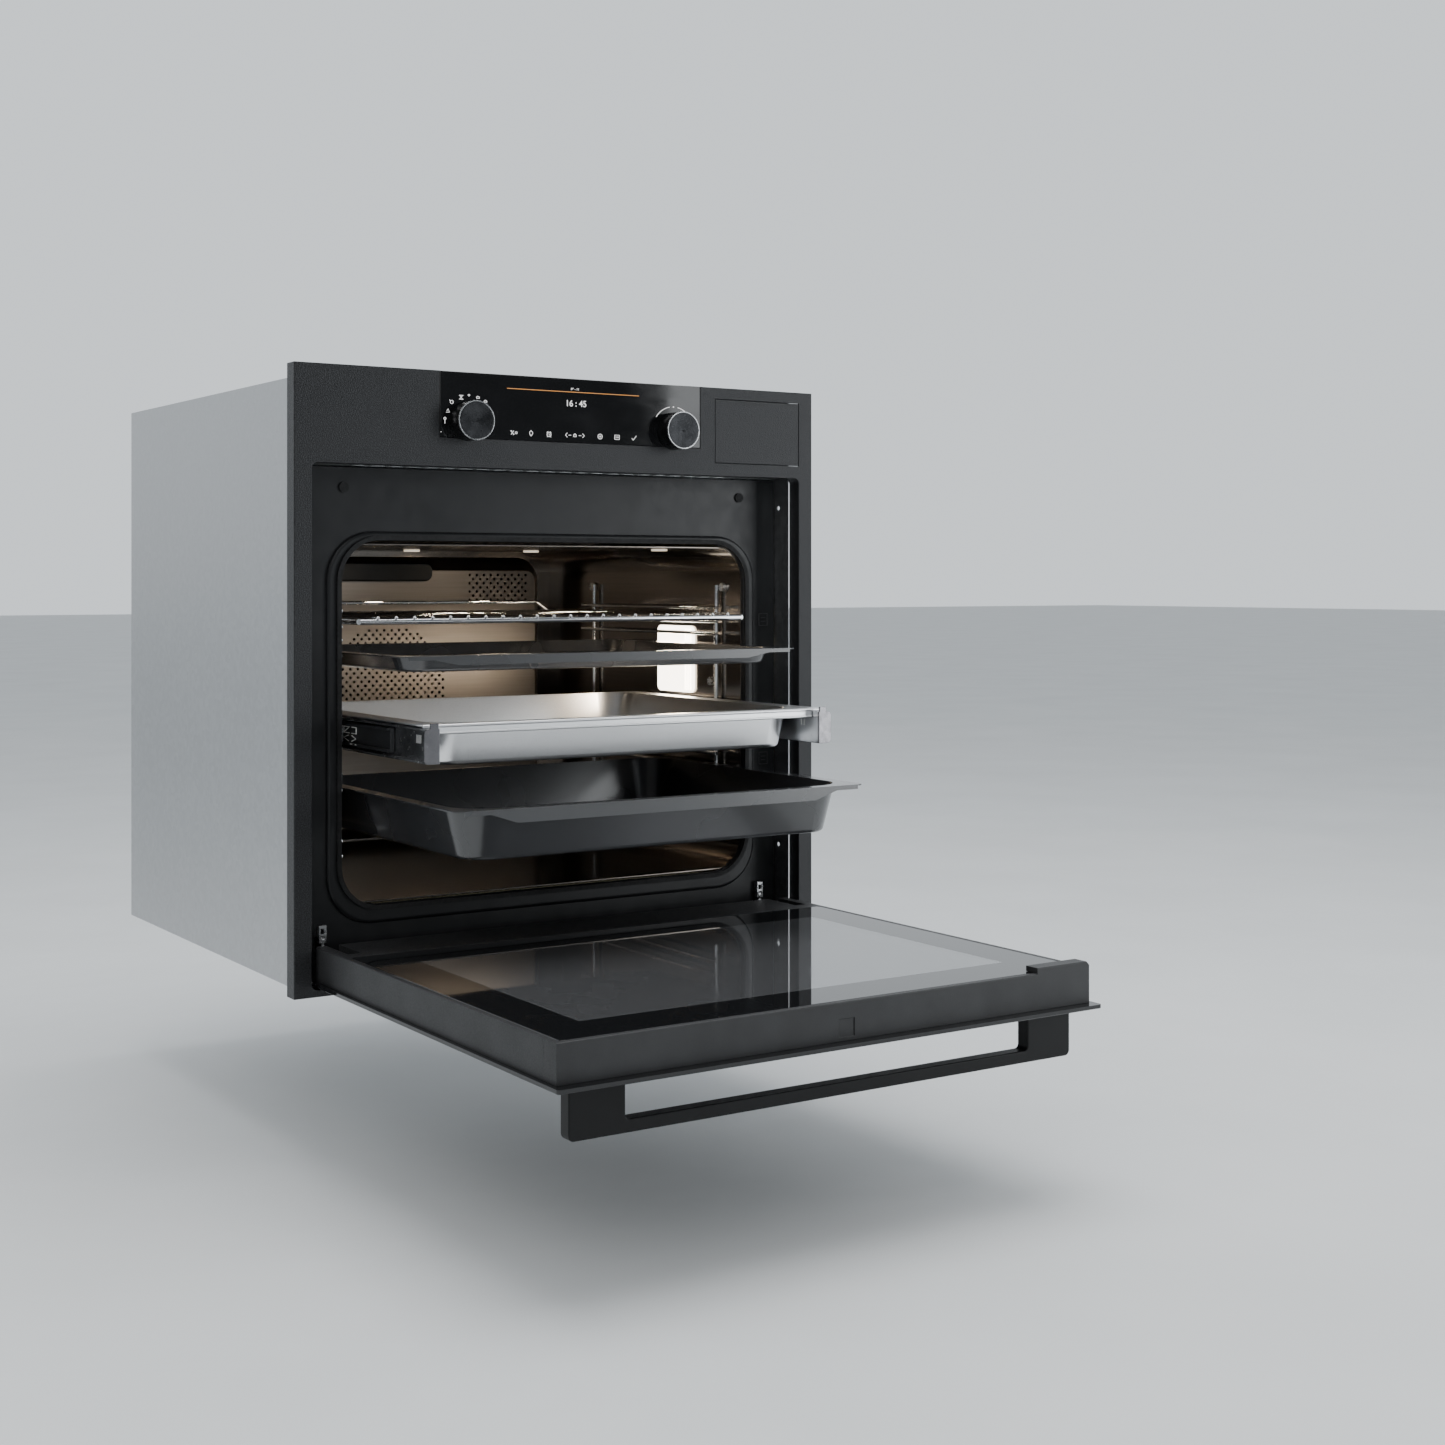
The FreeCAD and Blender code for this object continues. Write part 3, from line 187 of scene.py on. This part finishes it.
def satin_steel(name, colour):
    """Pressed stainless steel with an even, fine satin."""
    finish = Finish(name, colour, 0.3, 1.0)
    finish.soft_edges(0.0005)
    grain = finish.noise(2600, 2)
    finish.rough(grain, 0.27, 0.33)
    finish.tint(grain, [c * 0.94 for c in colour], colour)
    finish.bump(finish.noise(5200, 1), 0.000004, 0.2)
    return finish.material


def chrome(name, colour=(0.9, 0.905, 0.915), roughness=0.07):
    """Bright plating with faint drawing marks and fingerprints."""
    finish = Finish(name, colour, roughness, 1.0)
    finish.soft_edges(0.0006)
    finish.rough(finish.noise(120, 4), roughness, roughness + 0.12, 0.4, 0.8)
    finish.bump(finish.noise(700, 2), 0.00002, 0.4)
    finish.tint(finish.noise(35, 3), [c * 0.9 for c in colour], colour)
    return finish.material


def rail_plating():
    """Zinc plating of the runners, duller on the end plates than along the channels."""
    finish = Finish("rail_steel", (0.6, 0.6, 0.6), 0.2, 1.0)
    finish.soft_edges(0.0006)
    split = finish.add("SeparateXYZ")
    finish.link(finish.where(), split.inputs["Vector"])
    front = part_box("rail_moving")[0].y
    plate = finish.spread(split.outputs["Y"], 1.0, 0.0, front + 0.0022, front + 0.0028)
    finish.tint(plate, (0.66, 0.665, 0.68), (0.21, 0.205, 0.215), 0.0, 1.0)
    finish.rough(finish.noise(150, 3), 0.16, 0.28)
    finish.bump(finish.noise(900, 2), 0.000015, 0.4)
    return finish.material


def turned_knob(name, node):
    """Black anodised knob: turned rings on its face and a fine vertical brush on its side."""
    low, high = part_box(node)
    centre = ((low.x + high.x) / 2, 0, (low.z + high.z) / 2)
    finish = Finish(name, (0.030, 0.031, 0.033), 0.3, 0.9, Anisotropic=0.85)
    tangent = finish.add("Tangent", direction_type="RADIAL", axis="Y")
    finish.link(tangent.outputs["Tangent"], finish.shader.inputs["Tangent"])
    rings = finish.add("TexWave", wave_type="RINGS", rings_direction="Y")
    rings.inputs["Scale"].default_value = 620
    rings.inputs["Distortion"].default_value = 0.4
    finish.link(finish.where((1, 1, 1), centre), rings.inputs["Vector"])
    finish.bump(rings.outputs["Fac"], 0.00003, 0.35)
    finish.rough(finish.noise(400, 3), 0.24, 0.36)
    finish.tint(finish.noise(90, 3), (0.022, 0.023, 0.025), (0.04, 0.041, 0.044))
    return finish.material


def gloss_black(name, colour=(0.0035, 0.0036, 0.004), low=0.04, high=0.13):
    """Black glass with the faint bloom that hands and cloths leave."""
    finish = Finish(name, colour, 0.07, 0.0, Specular_IOR_Level=0.55)
    smears = finish.noise(14, 5, (1, 1, 2.5))
    finish.rough(smears, low, high, 0.42, 0.75)
    finish.tint(smears, colour, [c * 1.8 for c in colour], 0.4, 0.8)
    finish.bump(finish.noise(6, 2), 0.00015, 0.2)
    return finish.material


def printed_pane(name, node, border, tint=(0.50, 0.51, 0.53)):
    """Heat-reflecting pane with a black frame printed round its window."""
    low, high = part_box(node)
    middle = [(a + b) / 2 for a, b in zip(low, high)]
    finish = Finish(name, tint, 0.03, 0.0, IOR=1.52)
    split = finish.add("SeparateXYZ")
    finish.link(finish.where((1, 1, 1), middle), split.inputs["Vector"])
    edges = []
    for axis, half in (("X", high.x - middle[0] - border[0]), ("Y", high.y - middle[1] - border[1])):
        size = finish.add("Math", operation="ABSOLUTE")
        finish.link(split.outputs[axis], size.inputs[0])
        edges.append(finish.spread(size.outputs["Value"], 0.0, 1.0, half - 0.0006, half + 0.0006))
    mask = finish.add("Math", operation="MAXIMUM")
    for number, edge in enumerate(edges):
        finish.link(edge, mask.inputs[number])
    value = mask.outputs["Value"]
    finish.tint(value, tint, (0.010, 0.0105, 0.0115), 0.0, 1.0)
    finish.link(finish.spread(value, 0.83, 0.0, 0.0, 1.0), finish.shader.inputs["Transmission Weight"])
    finish.link(finish.spread(value, 0.30, 0.0, 0.0, 1.0), finish.shader.inputs["Metallic"])
    smears = finish.noise(11, 5, (1.6, 1, 1))
    finish.link(finish.spread(smears, 0.015, 0.07, 0.4, 0.8), finish.shader.inputs["Roughness"])
    return finish.material


def clear_pane(name, tint):
    """Plain pane between the others."""
    finish = Finish(name, tint, 0.02, 0.0, Transmission_Weight=1.0, IOR=1.5)
    finish.rough(finish.noise(13, 4), 0.01, 0.05)
    return finish.material


def moulded(name, colour=(0.022, 0.0225, 0.024), low=0.42, high=0.6, grain=900, depth=0.00006, shine=0.45):
    """Moulded plastic with spark-eroded texture."""
    finish = Finish(name, colour, 0.5, 0.0, Specular_IOR_Level=shine)
    finish.soft_edges(0.0008)
    grain = finish.noise(grain, 3)
    finish.rough(grain, low, high)
    finish.bump(grain, depth, 0.5)
    finish.tint(finish.noise(30, 3), [c * 0.8 for c in colour], [c * 1.25 for c in colour])
    return finish.material


def galvanised(name):
    """Zinc-coated sheet with its spangle."""
    finish = Finish(name, (0.5, 0.51, 0.52), 0.4, 1.0)
    cells = finish.add("TexVoronoi", feature="F1", I_Scale=190)
    finish.link(finish.where(), cells.inputs["Vector"])
    grey = finish.add("RGBToBW")
    finish.link(cells.outputs["Color"], grey.inputs["Color"])
    finish.tint(grey.outputs["Val"], (0.47, 0.48, 0.49), (0.54, 0.55, 0.56), 0.1, 0.9)
    finish.rough(grey.outputs["Val"], 0.34, 0.42, 0.1, 0.9)
    finish.bump(finish.noise(240, 3), 0.00004, 0.4)
    finish.bump(finish.noise(5, 2), 0.0012, 0.25)
    return finish.material


def glowing_lens(name, colour, power):
    """Lit lens with fine ribs."""
    finish = Finish(name, (0.9, 0.88, 0.84), 0.15, 0.0)
    finish.put("Emission Color", (*colour, 1.0))
    finish.put("Emission Strength", power)
    ribs = finish.add("TexWave", wave_type="BANDS", bands_direction="Y")
    ribs.inputs["Scale"].default_value = 160
    finish.link(finish.where(), ribs.inputs["Vector"])
    finish.bump(ribs.outputs["Fac"], 0.0004, 0.5)
    return finish.material


def wool(name):
    """Mineral wool fibres."""
    finish = Finish(name, (0.62, 0.56, 0.38), 0.95)
    fibres = finish.noise(260, 6, (1, 0.15, 1), 0.7)
    finish.tint(fibres, (0.42, 0.37, 0.22), (0.72, 0.67, 0.5))
    finish.rough(fibres, 0.85, 1.0)
    finish.bump(fibres, 0.0012, 0.8)
    return finish.material


def circuit_board(name):
    """Solder mask with copper tracks."""
    finish = Finish(name, (0.02, 0.12, 0.06), 0.35)
    tracks = finish.add("TexBrick", I_Scale=60)
    finish.link(finish.where(), tracks.inputs["Vector"])
    finish.tint(tracks.outputs["Fac"], (0.015, 0.09, 0.045), (0.05, 0.2, 0.1), 0.2, 0.8)
    finish.rough(finish.noise(90, 3), 0.28, 0.45)
    finish.bump(tracks.outputs["Fac"], 0.00005, 0.5)
    return finish.material


def oxidised_tube(name):
    """Heating element sheath, dark from use."""
    finish = Finish(name, (0.10, 0.085, 0.075), 0.5, 0.8)
    finish.tint(finish.noise(120, 5), (0.06, 0.05, 0.045), (0.17, 0.13, 0.10))
    finish.rough(finish.noise(160, 4), 0.4, 0.65)
    finish.bump(finish.noise(900, 2), 0.00004, 0.5)
    return finish.material


def smoked_plastic(name):
    """Clear smoked plastic of the water tank."""
    finish = Finish(name, (0.5, 0.54, 0.56), 0.12, 0.0, Transmission_Weight=0.75, IOR=1.49)
    finish.rough(finish.noise(50, 4), 0.08, 0.22)
    finish.bump(finish.noise(260, 2), 0.00005, 0.4)
    return finish.material


def rubber(name):
    """Matt silicone."""
    finish = Finish(name, (0.012, 0.012, 0.0125), 0.7, 0.0, Specular_IOR_Level=0.35)
    finish.rough(finish.noise(300, 4), 0.6, 0.85)
    finish.bump(finish.noise(1300, 3), 0.00005, 0.6)
    finish.tint(finish.noise(40, 3), (0.009, 0.009, 0.0095), (0.018, 0.018, 0.019))
    return finish.material


def make_finishes():
    """Every slot of the record with its material."""
    warm = (0.30, 0.27, 0.24)
    return {
        "front_enamel": powder_black("front_enamel"),
        "display_glass": gloss_black("display_glass"),
        "black_plastic": moulded("black_plastic"),
        "knob_ring": chrome("knob_ring", (0.45, 0.455, 0.465), 0.16),
        "cavity_enamel": satin_enamel("cavity_enamel"),
        "cavity_steel": brushed("cavity_steel", warm, 0.15, 0.18, (1, 0.02, 1), 900, 0.000002, 0.0003),
        "tray_enamel": tray_enamel(),
        "pan_steel": satin_steel("pan_steel", (0.90, 0.905, 0.915)),
        "chrome_wire": chrome("chrome_wire"),
        "rail_steel": rail_plating(),
        "rail_black": moulded("rail_black", (0.015, 0.0155, 0.017), 0.3, 0.45),
        "seal_rubber": rubber("seal_rubber"),
        "lamp_glass": glowing_lens("lamp_glass", (1.0, 0.90, 0.76), 7.0),
        "clear_glass": clear_pane("clear_glass", (0.75, 0.77, 0.78)),
        "printed_glass": printed_pane("printed_glass", "door_inner_glass", (0.046, 0.052)),
        "door_glass": gloss_black("door_glass", (0.005, 0.0052, 0.0058)),
        "casing_steel": galvanised("casing_steel"),
        "hinge_steel": chrome("hinge_steel", (0.86, 0.865, 0.87), 0.24),
        "heater_steel": oxidised_tube("heater_steel"),
        "wool": wool("wool"),
        "tank_plastic": smoked_plastic("tank_plastic"),
        "board": circuit_board("board"),
        "motor_steel": moulded("motor_steel", (0.16, 0.165, 0.17), 0.3, 0.45),
        "handle_black": moulded("handle_black", (0.0045, 0.0046, 0.005), 0.36, 0.46, 1200, 0.00002, 0.22),
        "knob_black": turned_knob("knob_black", "knob_left"),
    }


SMOOTH_BELOW = math.radians(35)


def shade(thing, material):
    """Give an object one material, with smooth shading between faces that nearly line up."""
    thing.data.materials.clear()
    thing.data.materials.append(material)
    if thing.type == "MESH":
        thing.data.polygons.foreach_set("use_smooth", [True] * len(thing.data.polygons))
        thing.data.set_sharp_from_angle(angle=SMOOTH_BELOW)


FINISH = make_finishes()
for entry in frame["record"]["subparts"]:
    if entry["node"] in NODES:
        shade(NODES[entry["node"]], FINISH[entry["material_slot"]])
for name in ("knob_left", "knob_right"):
    shade(NODES[name], turned_knob(name + "_face", name))
shade(NODES["ceiling_lamps"], glowing_lens("ceiling_lens", (1.0, 0.84, 0.64), 0.9))
baffle_steel = brushed("baffle_steel", (0.33, 0.295, 0.26), 0.34, 0.44, (0.03, 1, 1), 900, 0.00001)
shade(NODES["fan_baffle"], baffle_steel)


# ---------------------------------------------------------------- what the display shows

GLASS_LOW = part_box("display_glass")[0]
INK = 0.00012                                        # how far the lit marks stand in front of the glass


def spot(x, z):
    """Place on the glass from millimetres right of the oven's middle and above the glass's lower edge."""
    return Vector((x * MM, GLASS_LOW.y - INK, GLASS_LOW.z + z * MM))


def lit(name, colour, power):
    """Lit mark behind glass, with the fine raster of a screen."""
    finish = Finish(name, (0.02, 0.02, 0.02), 0.2)
    raster = finish.noise(2600, 1)
    finish.tint(raster, [c * 0.72 for c in colour], colour, 0.3, 0.6, "Emission Color")
    finish.put("Emission Strength", power)
    finish.rough(raster, 0.15, 0.3)
    return finish.material


def arc(x, z, radius, start=0, end=360, count=20):
    """Points round a centre, in millimetres; angles in degrees from the right, counter-clockwise."""
    turns = [math.radians(start + (end - start) * i / count) for i in range(count + 1)]
    return [(x + radius * math.cos(t), z + radius * math.sin(t)) for t in turns]


def marks(name, material, strokes, width=0.5, place=spot, body="cabinet"):
    """Thin strokes on a face, each a list of points in millimetres that place() puts on it."""
    data = bpy.data.curves.new(name, "CURVE")
    data.dimensions = "3D"
    data.bevel_depth = width / 2 * MM
    data.bevel_resolution = 1
    for stroke in strokes:
        line = data.splines.new("POLY")
        line.points.add(len(stroke) - 1)
        for point, (x, z) in zip(line.points, stroke):
            point.co = (*place(x, z), 1)
    data.materials.append(material)
    thing = bpy.data.objects.new(name, data)
    scene.collection.objects.link(thing)
    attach(thing, body)


def digits(name, text, x, z, height, material, gap=1.0):
    """Upright digits centred on a place on the glass."""
    data = bpy.data.curves.new(name, "FONT")
    data.body = text
    data.size = height / 0.7 * MM
    data.space_character = gap
    data.align_x, data.align_y = "CENTER", "CENTER"
    data.extrude = 0.00003
    data.offset = 0.00008
    data.materials.append(material)
    thing = bpy.data.objects.new(name, data)
    thing.location = spot(x, z)
    thing.rotation_euler = (math.pi / 2, 0, 0)
    scene.collection.objects.link(thing)
    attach(thing, "cabinet")


def icon_strokes():
    """Row of touch symbols: fan, lamp, alarm, arrows round a lock, plus, timer and tick."""
    z = 7.5
    fan = [[(-71.6, z + 2), (-68.4, z - 2)], [(-71.6, z - 2), (-68.4, z + 2)],
           [(-72.2, z + 1.2), (-71, z + 2.3)], [(-69, z - 2.3), (-67.8, z - 1.2)], arc(-65.7, z, 1.0)]
    lamp = [arc(-49, z + 0.4, 1.8, -60, 240), [(-49.9, z - 1.2), (-49.6, z - 2.4), (-48.4, z - 2.4),
            (-48.1, z - 1.2)], [(-49, z + 2.3), (-49, z + 3.3)]]
    alarm = [arc(-28.6, z - 0.2, 2.2),
             [(-31, z + 1.6), (-29.8, z + 2.7)], [(-27.4, z + 2.7), (-26.2, z + 1.6)],
             [(-28.6, z + 1), (-28.6, z - 0.4), (-27.6, z - 0.9)],
             [(-30, z - 2), (-30.8, z - 2.9)], [(-27.2, z - 2), (-26.4, z - 2.9)]]
    middle = [[(-7.6, z + 2.2), (-9.8, z), (-7.6, z - 2.2)], [(-6.2, z), (-3.2, z)], [(5.6, z), (8.6, z)],
              [(10, z + 2.2), (12.2, z), (10, z - 2.2)],
              [(-0.4, z - 1.3), (2.8, z - 1.3), (2.8, z + 0.5), (-0.4, z + 0.5), (-0.4, z - 1.3)],
              arc(1.2, z + 0.6, 1.0, 0, 180, 8)]
    plus = [arc(30.7, z, 2.5), [(29.4, z), (32, z)], [(30.7, z - 1.3), (30.7, z + 1.3)]]
    timer = [[(48, z - 2.2), (53.6, z - 2.2), (53.6, z + 2.2), (48, z + 2.2), (48, z - 2.2)],
             [(49.6, z - 0.8), (49.6, z + 0.9)], [(51, z - 0.8), (51, z + 0.9)],
             [(52.2, z - 0.8), (52.2, z + 0.9)]]
    tick = [[(68.4, z - 0.3), (70.2, z - 2.2), (74, z + 2.4)]]
    return fan + lamp + alarm + middle + plus + timer + tick


def display_graphics():
    """Clock, day, lit line, touch symbols and the knobs' scales."""
    white = lit("lit_white", (1.0, 1.0, 1.0), 1.5)
    amber = lit("lit_amber", (1.0, 0.42, 0.10), 1.1)
    digits("clock_digits", "16 : 45", 2.6, 39.6, 6.2, white)
    digits("day_digits", "09 - 11", 1.4, 54.4, 2.1, white, 1.1)
    marks("display_line", amber, [[(-76, 51.4), (-12, 51.4)], [(-12, 51.4), (77, 51.4)]], 0.7)
    marks("touch_symbols", white, icon_strokes(), 0.62)
    marks("status_dot", white, [arc(-148, 5.2, 0.25, count=8)], 0.4)

    x, z = [(a + b) / 2 / MM for a, b in zip(*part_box("knob_left"))][::2]
    z -= GLASS_LOW.z / MM
    scale = [arc(x - 24.6, z + 2.0, 1.1), [(x - 24.6, z + 0.4), (x - 24.6, z - 3)],
             [(x - 23.4, z + 8.2), (x - 19.6, z + 8.2), (x - 21, z + 11.4), (x - 22.6, z + 9.6)],
             arc(x - 17.2, z + 18.4, 1.6), [(x - 18.6, z + 19.4), (x - 19.6, z + 20.6)],
             [(x - 9.4, z + 21.6), (x - 4.8, z + 21.6)], [(x - 9.4, z + 25.4), (x - 4.8, z + 25.4)],
             [(x - 8.4, z + 21.8), (x - 5.8, z + 25.2)], [(x - 5.8, z + 21.8), (x - 8.4, z + 25.2)],
             arc(x + 1.4, z + 26.0, 0.8),
             arc(x + 11.2, z + 23.6, 1.7, 0, 180), [(x + 9.4, z + 23.4), (x + 13, z + 23.4)],
             arc(x + 19.4, z + 20.2, 1.6, 0, 180), [(x + 17.6, z + 20), (x + 21.2, z + 20)],
             [(x + 25.6, z + 11), (x + 26.4, z + 11.6)], [(x + 27.6, z), (x + 28.4, z)]]
    marks("left_knob_scale", white, scale, 0.6)

    x = (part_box("knob_right")[0].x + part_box("knob_right")[1].x) / 2 / MM
    sweep = [arc(x, z, 25.6, 146, 101), arc(x, z, 25.6, 79, 52), arc(x, z + 25.6, 0.45, count=8)]
    marks("right_knob_scale", white, sweep, 0.75)


# ---------------------------------------------------------------- small printed and pressed marks

RUNNER_WEB = 0.0134 - INK                            # from a runner's outer edge in to its web
RUNNER_DEPTH = 0.015 + INK                           # from a runner's outer edge to its inner face
LEVEL_HEIGHTS = (0.349, 0.196)                       # middles of the pressed level marks
LEVEL_LEFT = 0.2555                                  # their left edge


def beside(node, face):
    """Placer for a node's side: millimetres back from its front end and up from its underside."""
    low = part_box(node)[0]
    return lambda y, z: Vector((face, low.y + y * MM, low.z + z * MM))


def patch(y, z, width, height, pitch=0.45):
    """One zigzag stroke that fills a small rectangle."""
    rows = int(height / pitch)
    return [(y + width * ((row + end) % 2), z + row * pitch) for row in range(rows) for end in (0, 1)]


def runner_marks():
    """White arrows and release patch on the left runner, and the right runner's two tabs."""
    white = moulded("mark_white", (0.72, 0.72, 0.70), 0.35, 0.5)
    chevrons = [[(84, 18.6), (73, 18.6), (73, 12.6), (84, 12.6)],
                [(90, 18.6), (104, 18.6), (104, 12.6), (90, 12.6)], [(92, 17.6), (102, 13.6)],
                [(84, 10.4), (74, 7.6), (84, 4.8)], [(92, 10.4), (104, 7.6), (92, 4.8)],
                [(72, 2.0), (76, 2.0)], [(82, 2.0), (88, 2.0)]]
    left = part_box("rail_middle")[0].x - INK
    marks("runner_chevrons", white, chevrons, 1.1, beside("rail_middle", left), "rail_member")
    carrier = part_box("rail_moving")
    outer = carrier[0].x + RUNNER_WEB
    marks("release_patch", white, [patch(36, 16.6, 10, 8)], 0.5, beside("rail_moving", outer), "pan_carrier")
    inner = carrier[1].x - RUNNER_DEPTH
    tabs = [[(25.6, 17.4), (25.6, 23.2)], [(30.6, 17.4), (30.6, 23.2)]]
    marks("runner_tabs", white, tabs, 1.8, beside("rail_moving", inner), "pan_carrier")


def level_marks():
    """Pressed shelf numbers' frames on the right side of the cavity's front plate."""
    grey = moulded("mark_grey", (0.05, 0.051, 0.053), 0.4, 0.5)
    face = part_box("cavity_front_plate")[0].y - INK / 2
    wide, tall = 11, 13
    outline = [(0, 0), (wide, 0), (wide, tall), (0, tall), (0, 0)]
    bars = [[(2.5, z), (8.5, z)] for z in (4.5, 8.5)]
    for number, height in enumerate(LEVEL_HEIGHTS, 1):
        place = lambda x, z: Vector((LEVEL_LEFT + x * MM, face, height + (z - tall / 2) * MM))
        marks(f"level_mark_{number}", grey, [outline] + bars, 0.8, place)


# ---------------------------------------------------------------- camera, light and floor

FLOOR = -0.16
CEILING_LIGHTS = ((-0.028, FACE_Y + 0.33), (0.118, FACE_Y + 0.315))    # under the two front lamps


def look(thing, place, target):
    """Stand a light or camera at a place and turn it to a target."""
    thing.location = place
    thing.rotation_euler = (Vector(target) - Vector(place)).to_track_quat("-Z", "Y").to_euler()


def area_light(name, place, target, size, power, colour=(1, 1, 1)):
    data = bpy.data.lights.new(name, "AREA")
    data.shape = "RECTANGLE"
    data.size, data.size_y = size
    data.energy = power
    data.color = colour
    light = bpy.data.objects.new(name, data)
    scene.collection.objects.link(light)
    look(light, place, target)


def studio():
    """Pale floor well below the open door, the room round it and three soft boxes."""
    bpy.ops.mesh.primitive_grid_add(x_subdivisions=8, y_subdivisions=8, size=60, location=(0, 0, FLOOR))
    floor = bpy.context.object
    floor.name = "floor"
    paint = Finish("floor_paint", (0.76, 0.78, 0.79), 0.6)
    paint.tint(paint.noise(3, 4), (0.74, 0.76, 0.77), (0.79, 0.81, 0.82))
    paint.rough(paint.noise(25, 4), 0.55, 0.7)
    floor.data.materials.append(paint.material)

    surround()
    area_light("key", (-2.3, -2.1, 2.3), (0, -0.2, 0.3), (3.4, 3.4), 52, (1.0, 0.99, 0.97))
    area_light("fill", (2.3, -2.6, 0.7), (0, -0.2, 0.1), (1.3, 2.2), 38, (0.95, 0.98, 1.0))
    area_light("top", (0.3, -0.4, 3.2), (0, -0.3, 0.3), (2.4, 2.4), 70)


def surround():
    """Pale room that is bright behind and to the right of the oven and dim in front of it."""
    world = bpy.data.worlds.new("surround")
    scene.world = world
    world.use_nodes = True
    tree = world.node_tree
    direction = tree.nodes.new("ShaderNodeTexCoord")
    facing = tree.nodes.new("ShaderNodeVectorMath")
    facing.operation = "DOT_PRODUCT"
    facing.inputs[1].default_value = (0.50, 0.81, 0.30)
    ramp = tree.nodes.new("ShaderNodeValToRGB")
    ramp.color_ramp.elements[0].position = 0.0
    ramp.color_ramp.elements[0].color = (0.14, 0.15, 0.16, 1)
    ramp.color_ramp.elements[1].position = 0.5
    ramp.color_ramp.elements[1].color = (0.86, 0.91, 0.95, 1)
    tree.links.new(direction.outputs["Generated"], facing.inputs[0])
    tree.links.new(facing.outputs["Value"], ramp.inputs["Fac"])
    tree.links.new(ramp.outputs["Color"], tree.nodes["Background"].inputs["Color"])
    tree.nodes["Background"].inputs["Strength"].default_value = 1.1


def cavity_lamps():
    """Warm light from the oven's own lamps."""
    low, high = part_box("side_lamp_glass")
    middle = (low + high) / 2
    area_light("side_lamp", (low.x - 0.004, middle.y, middle.z), (0, middle.y, middle.z - 0.02),
               (0.06, 0.06), 0.26, (1.0, 0.80, 0.58))
    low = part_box("ceiling_lamps")[0]
    for x, y in CEILING_LIGHTS:
        area_light("ceiling_lamp", (x, y, low.z - 0.002), (x, y, 0), (0.02, 0.02), 0.07, (1.0, 0.82, 0.6))


def camera():
    """Level camera to the left of the oven, its frame shifted down to hold the open door."""
    data = bpy.data.cameras.new("camera")
    data.lens, data.sensor_width = 50, 36
    data.shift_y = -0.09875
    data.clip_end = 200
    thing = bpy.data.objects.new("camera", data)
    thing.location = (-0.9967, FACE_Y - 1.7861, 0.3927)
    thing.rotation_euler = (math.radians(90), 0, math.radians(-33.4))
    scene.collection.objects.link(thing)
    scene.camera = thing


display_graphics()
runner_marks()
level_marks()
studio()
cavity_lamps()
camera()
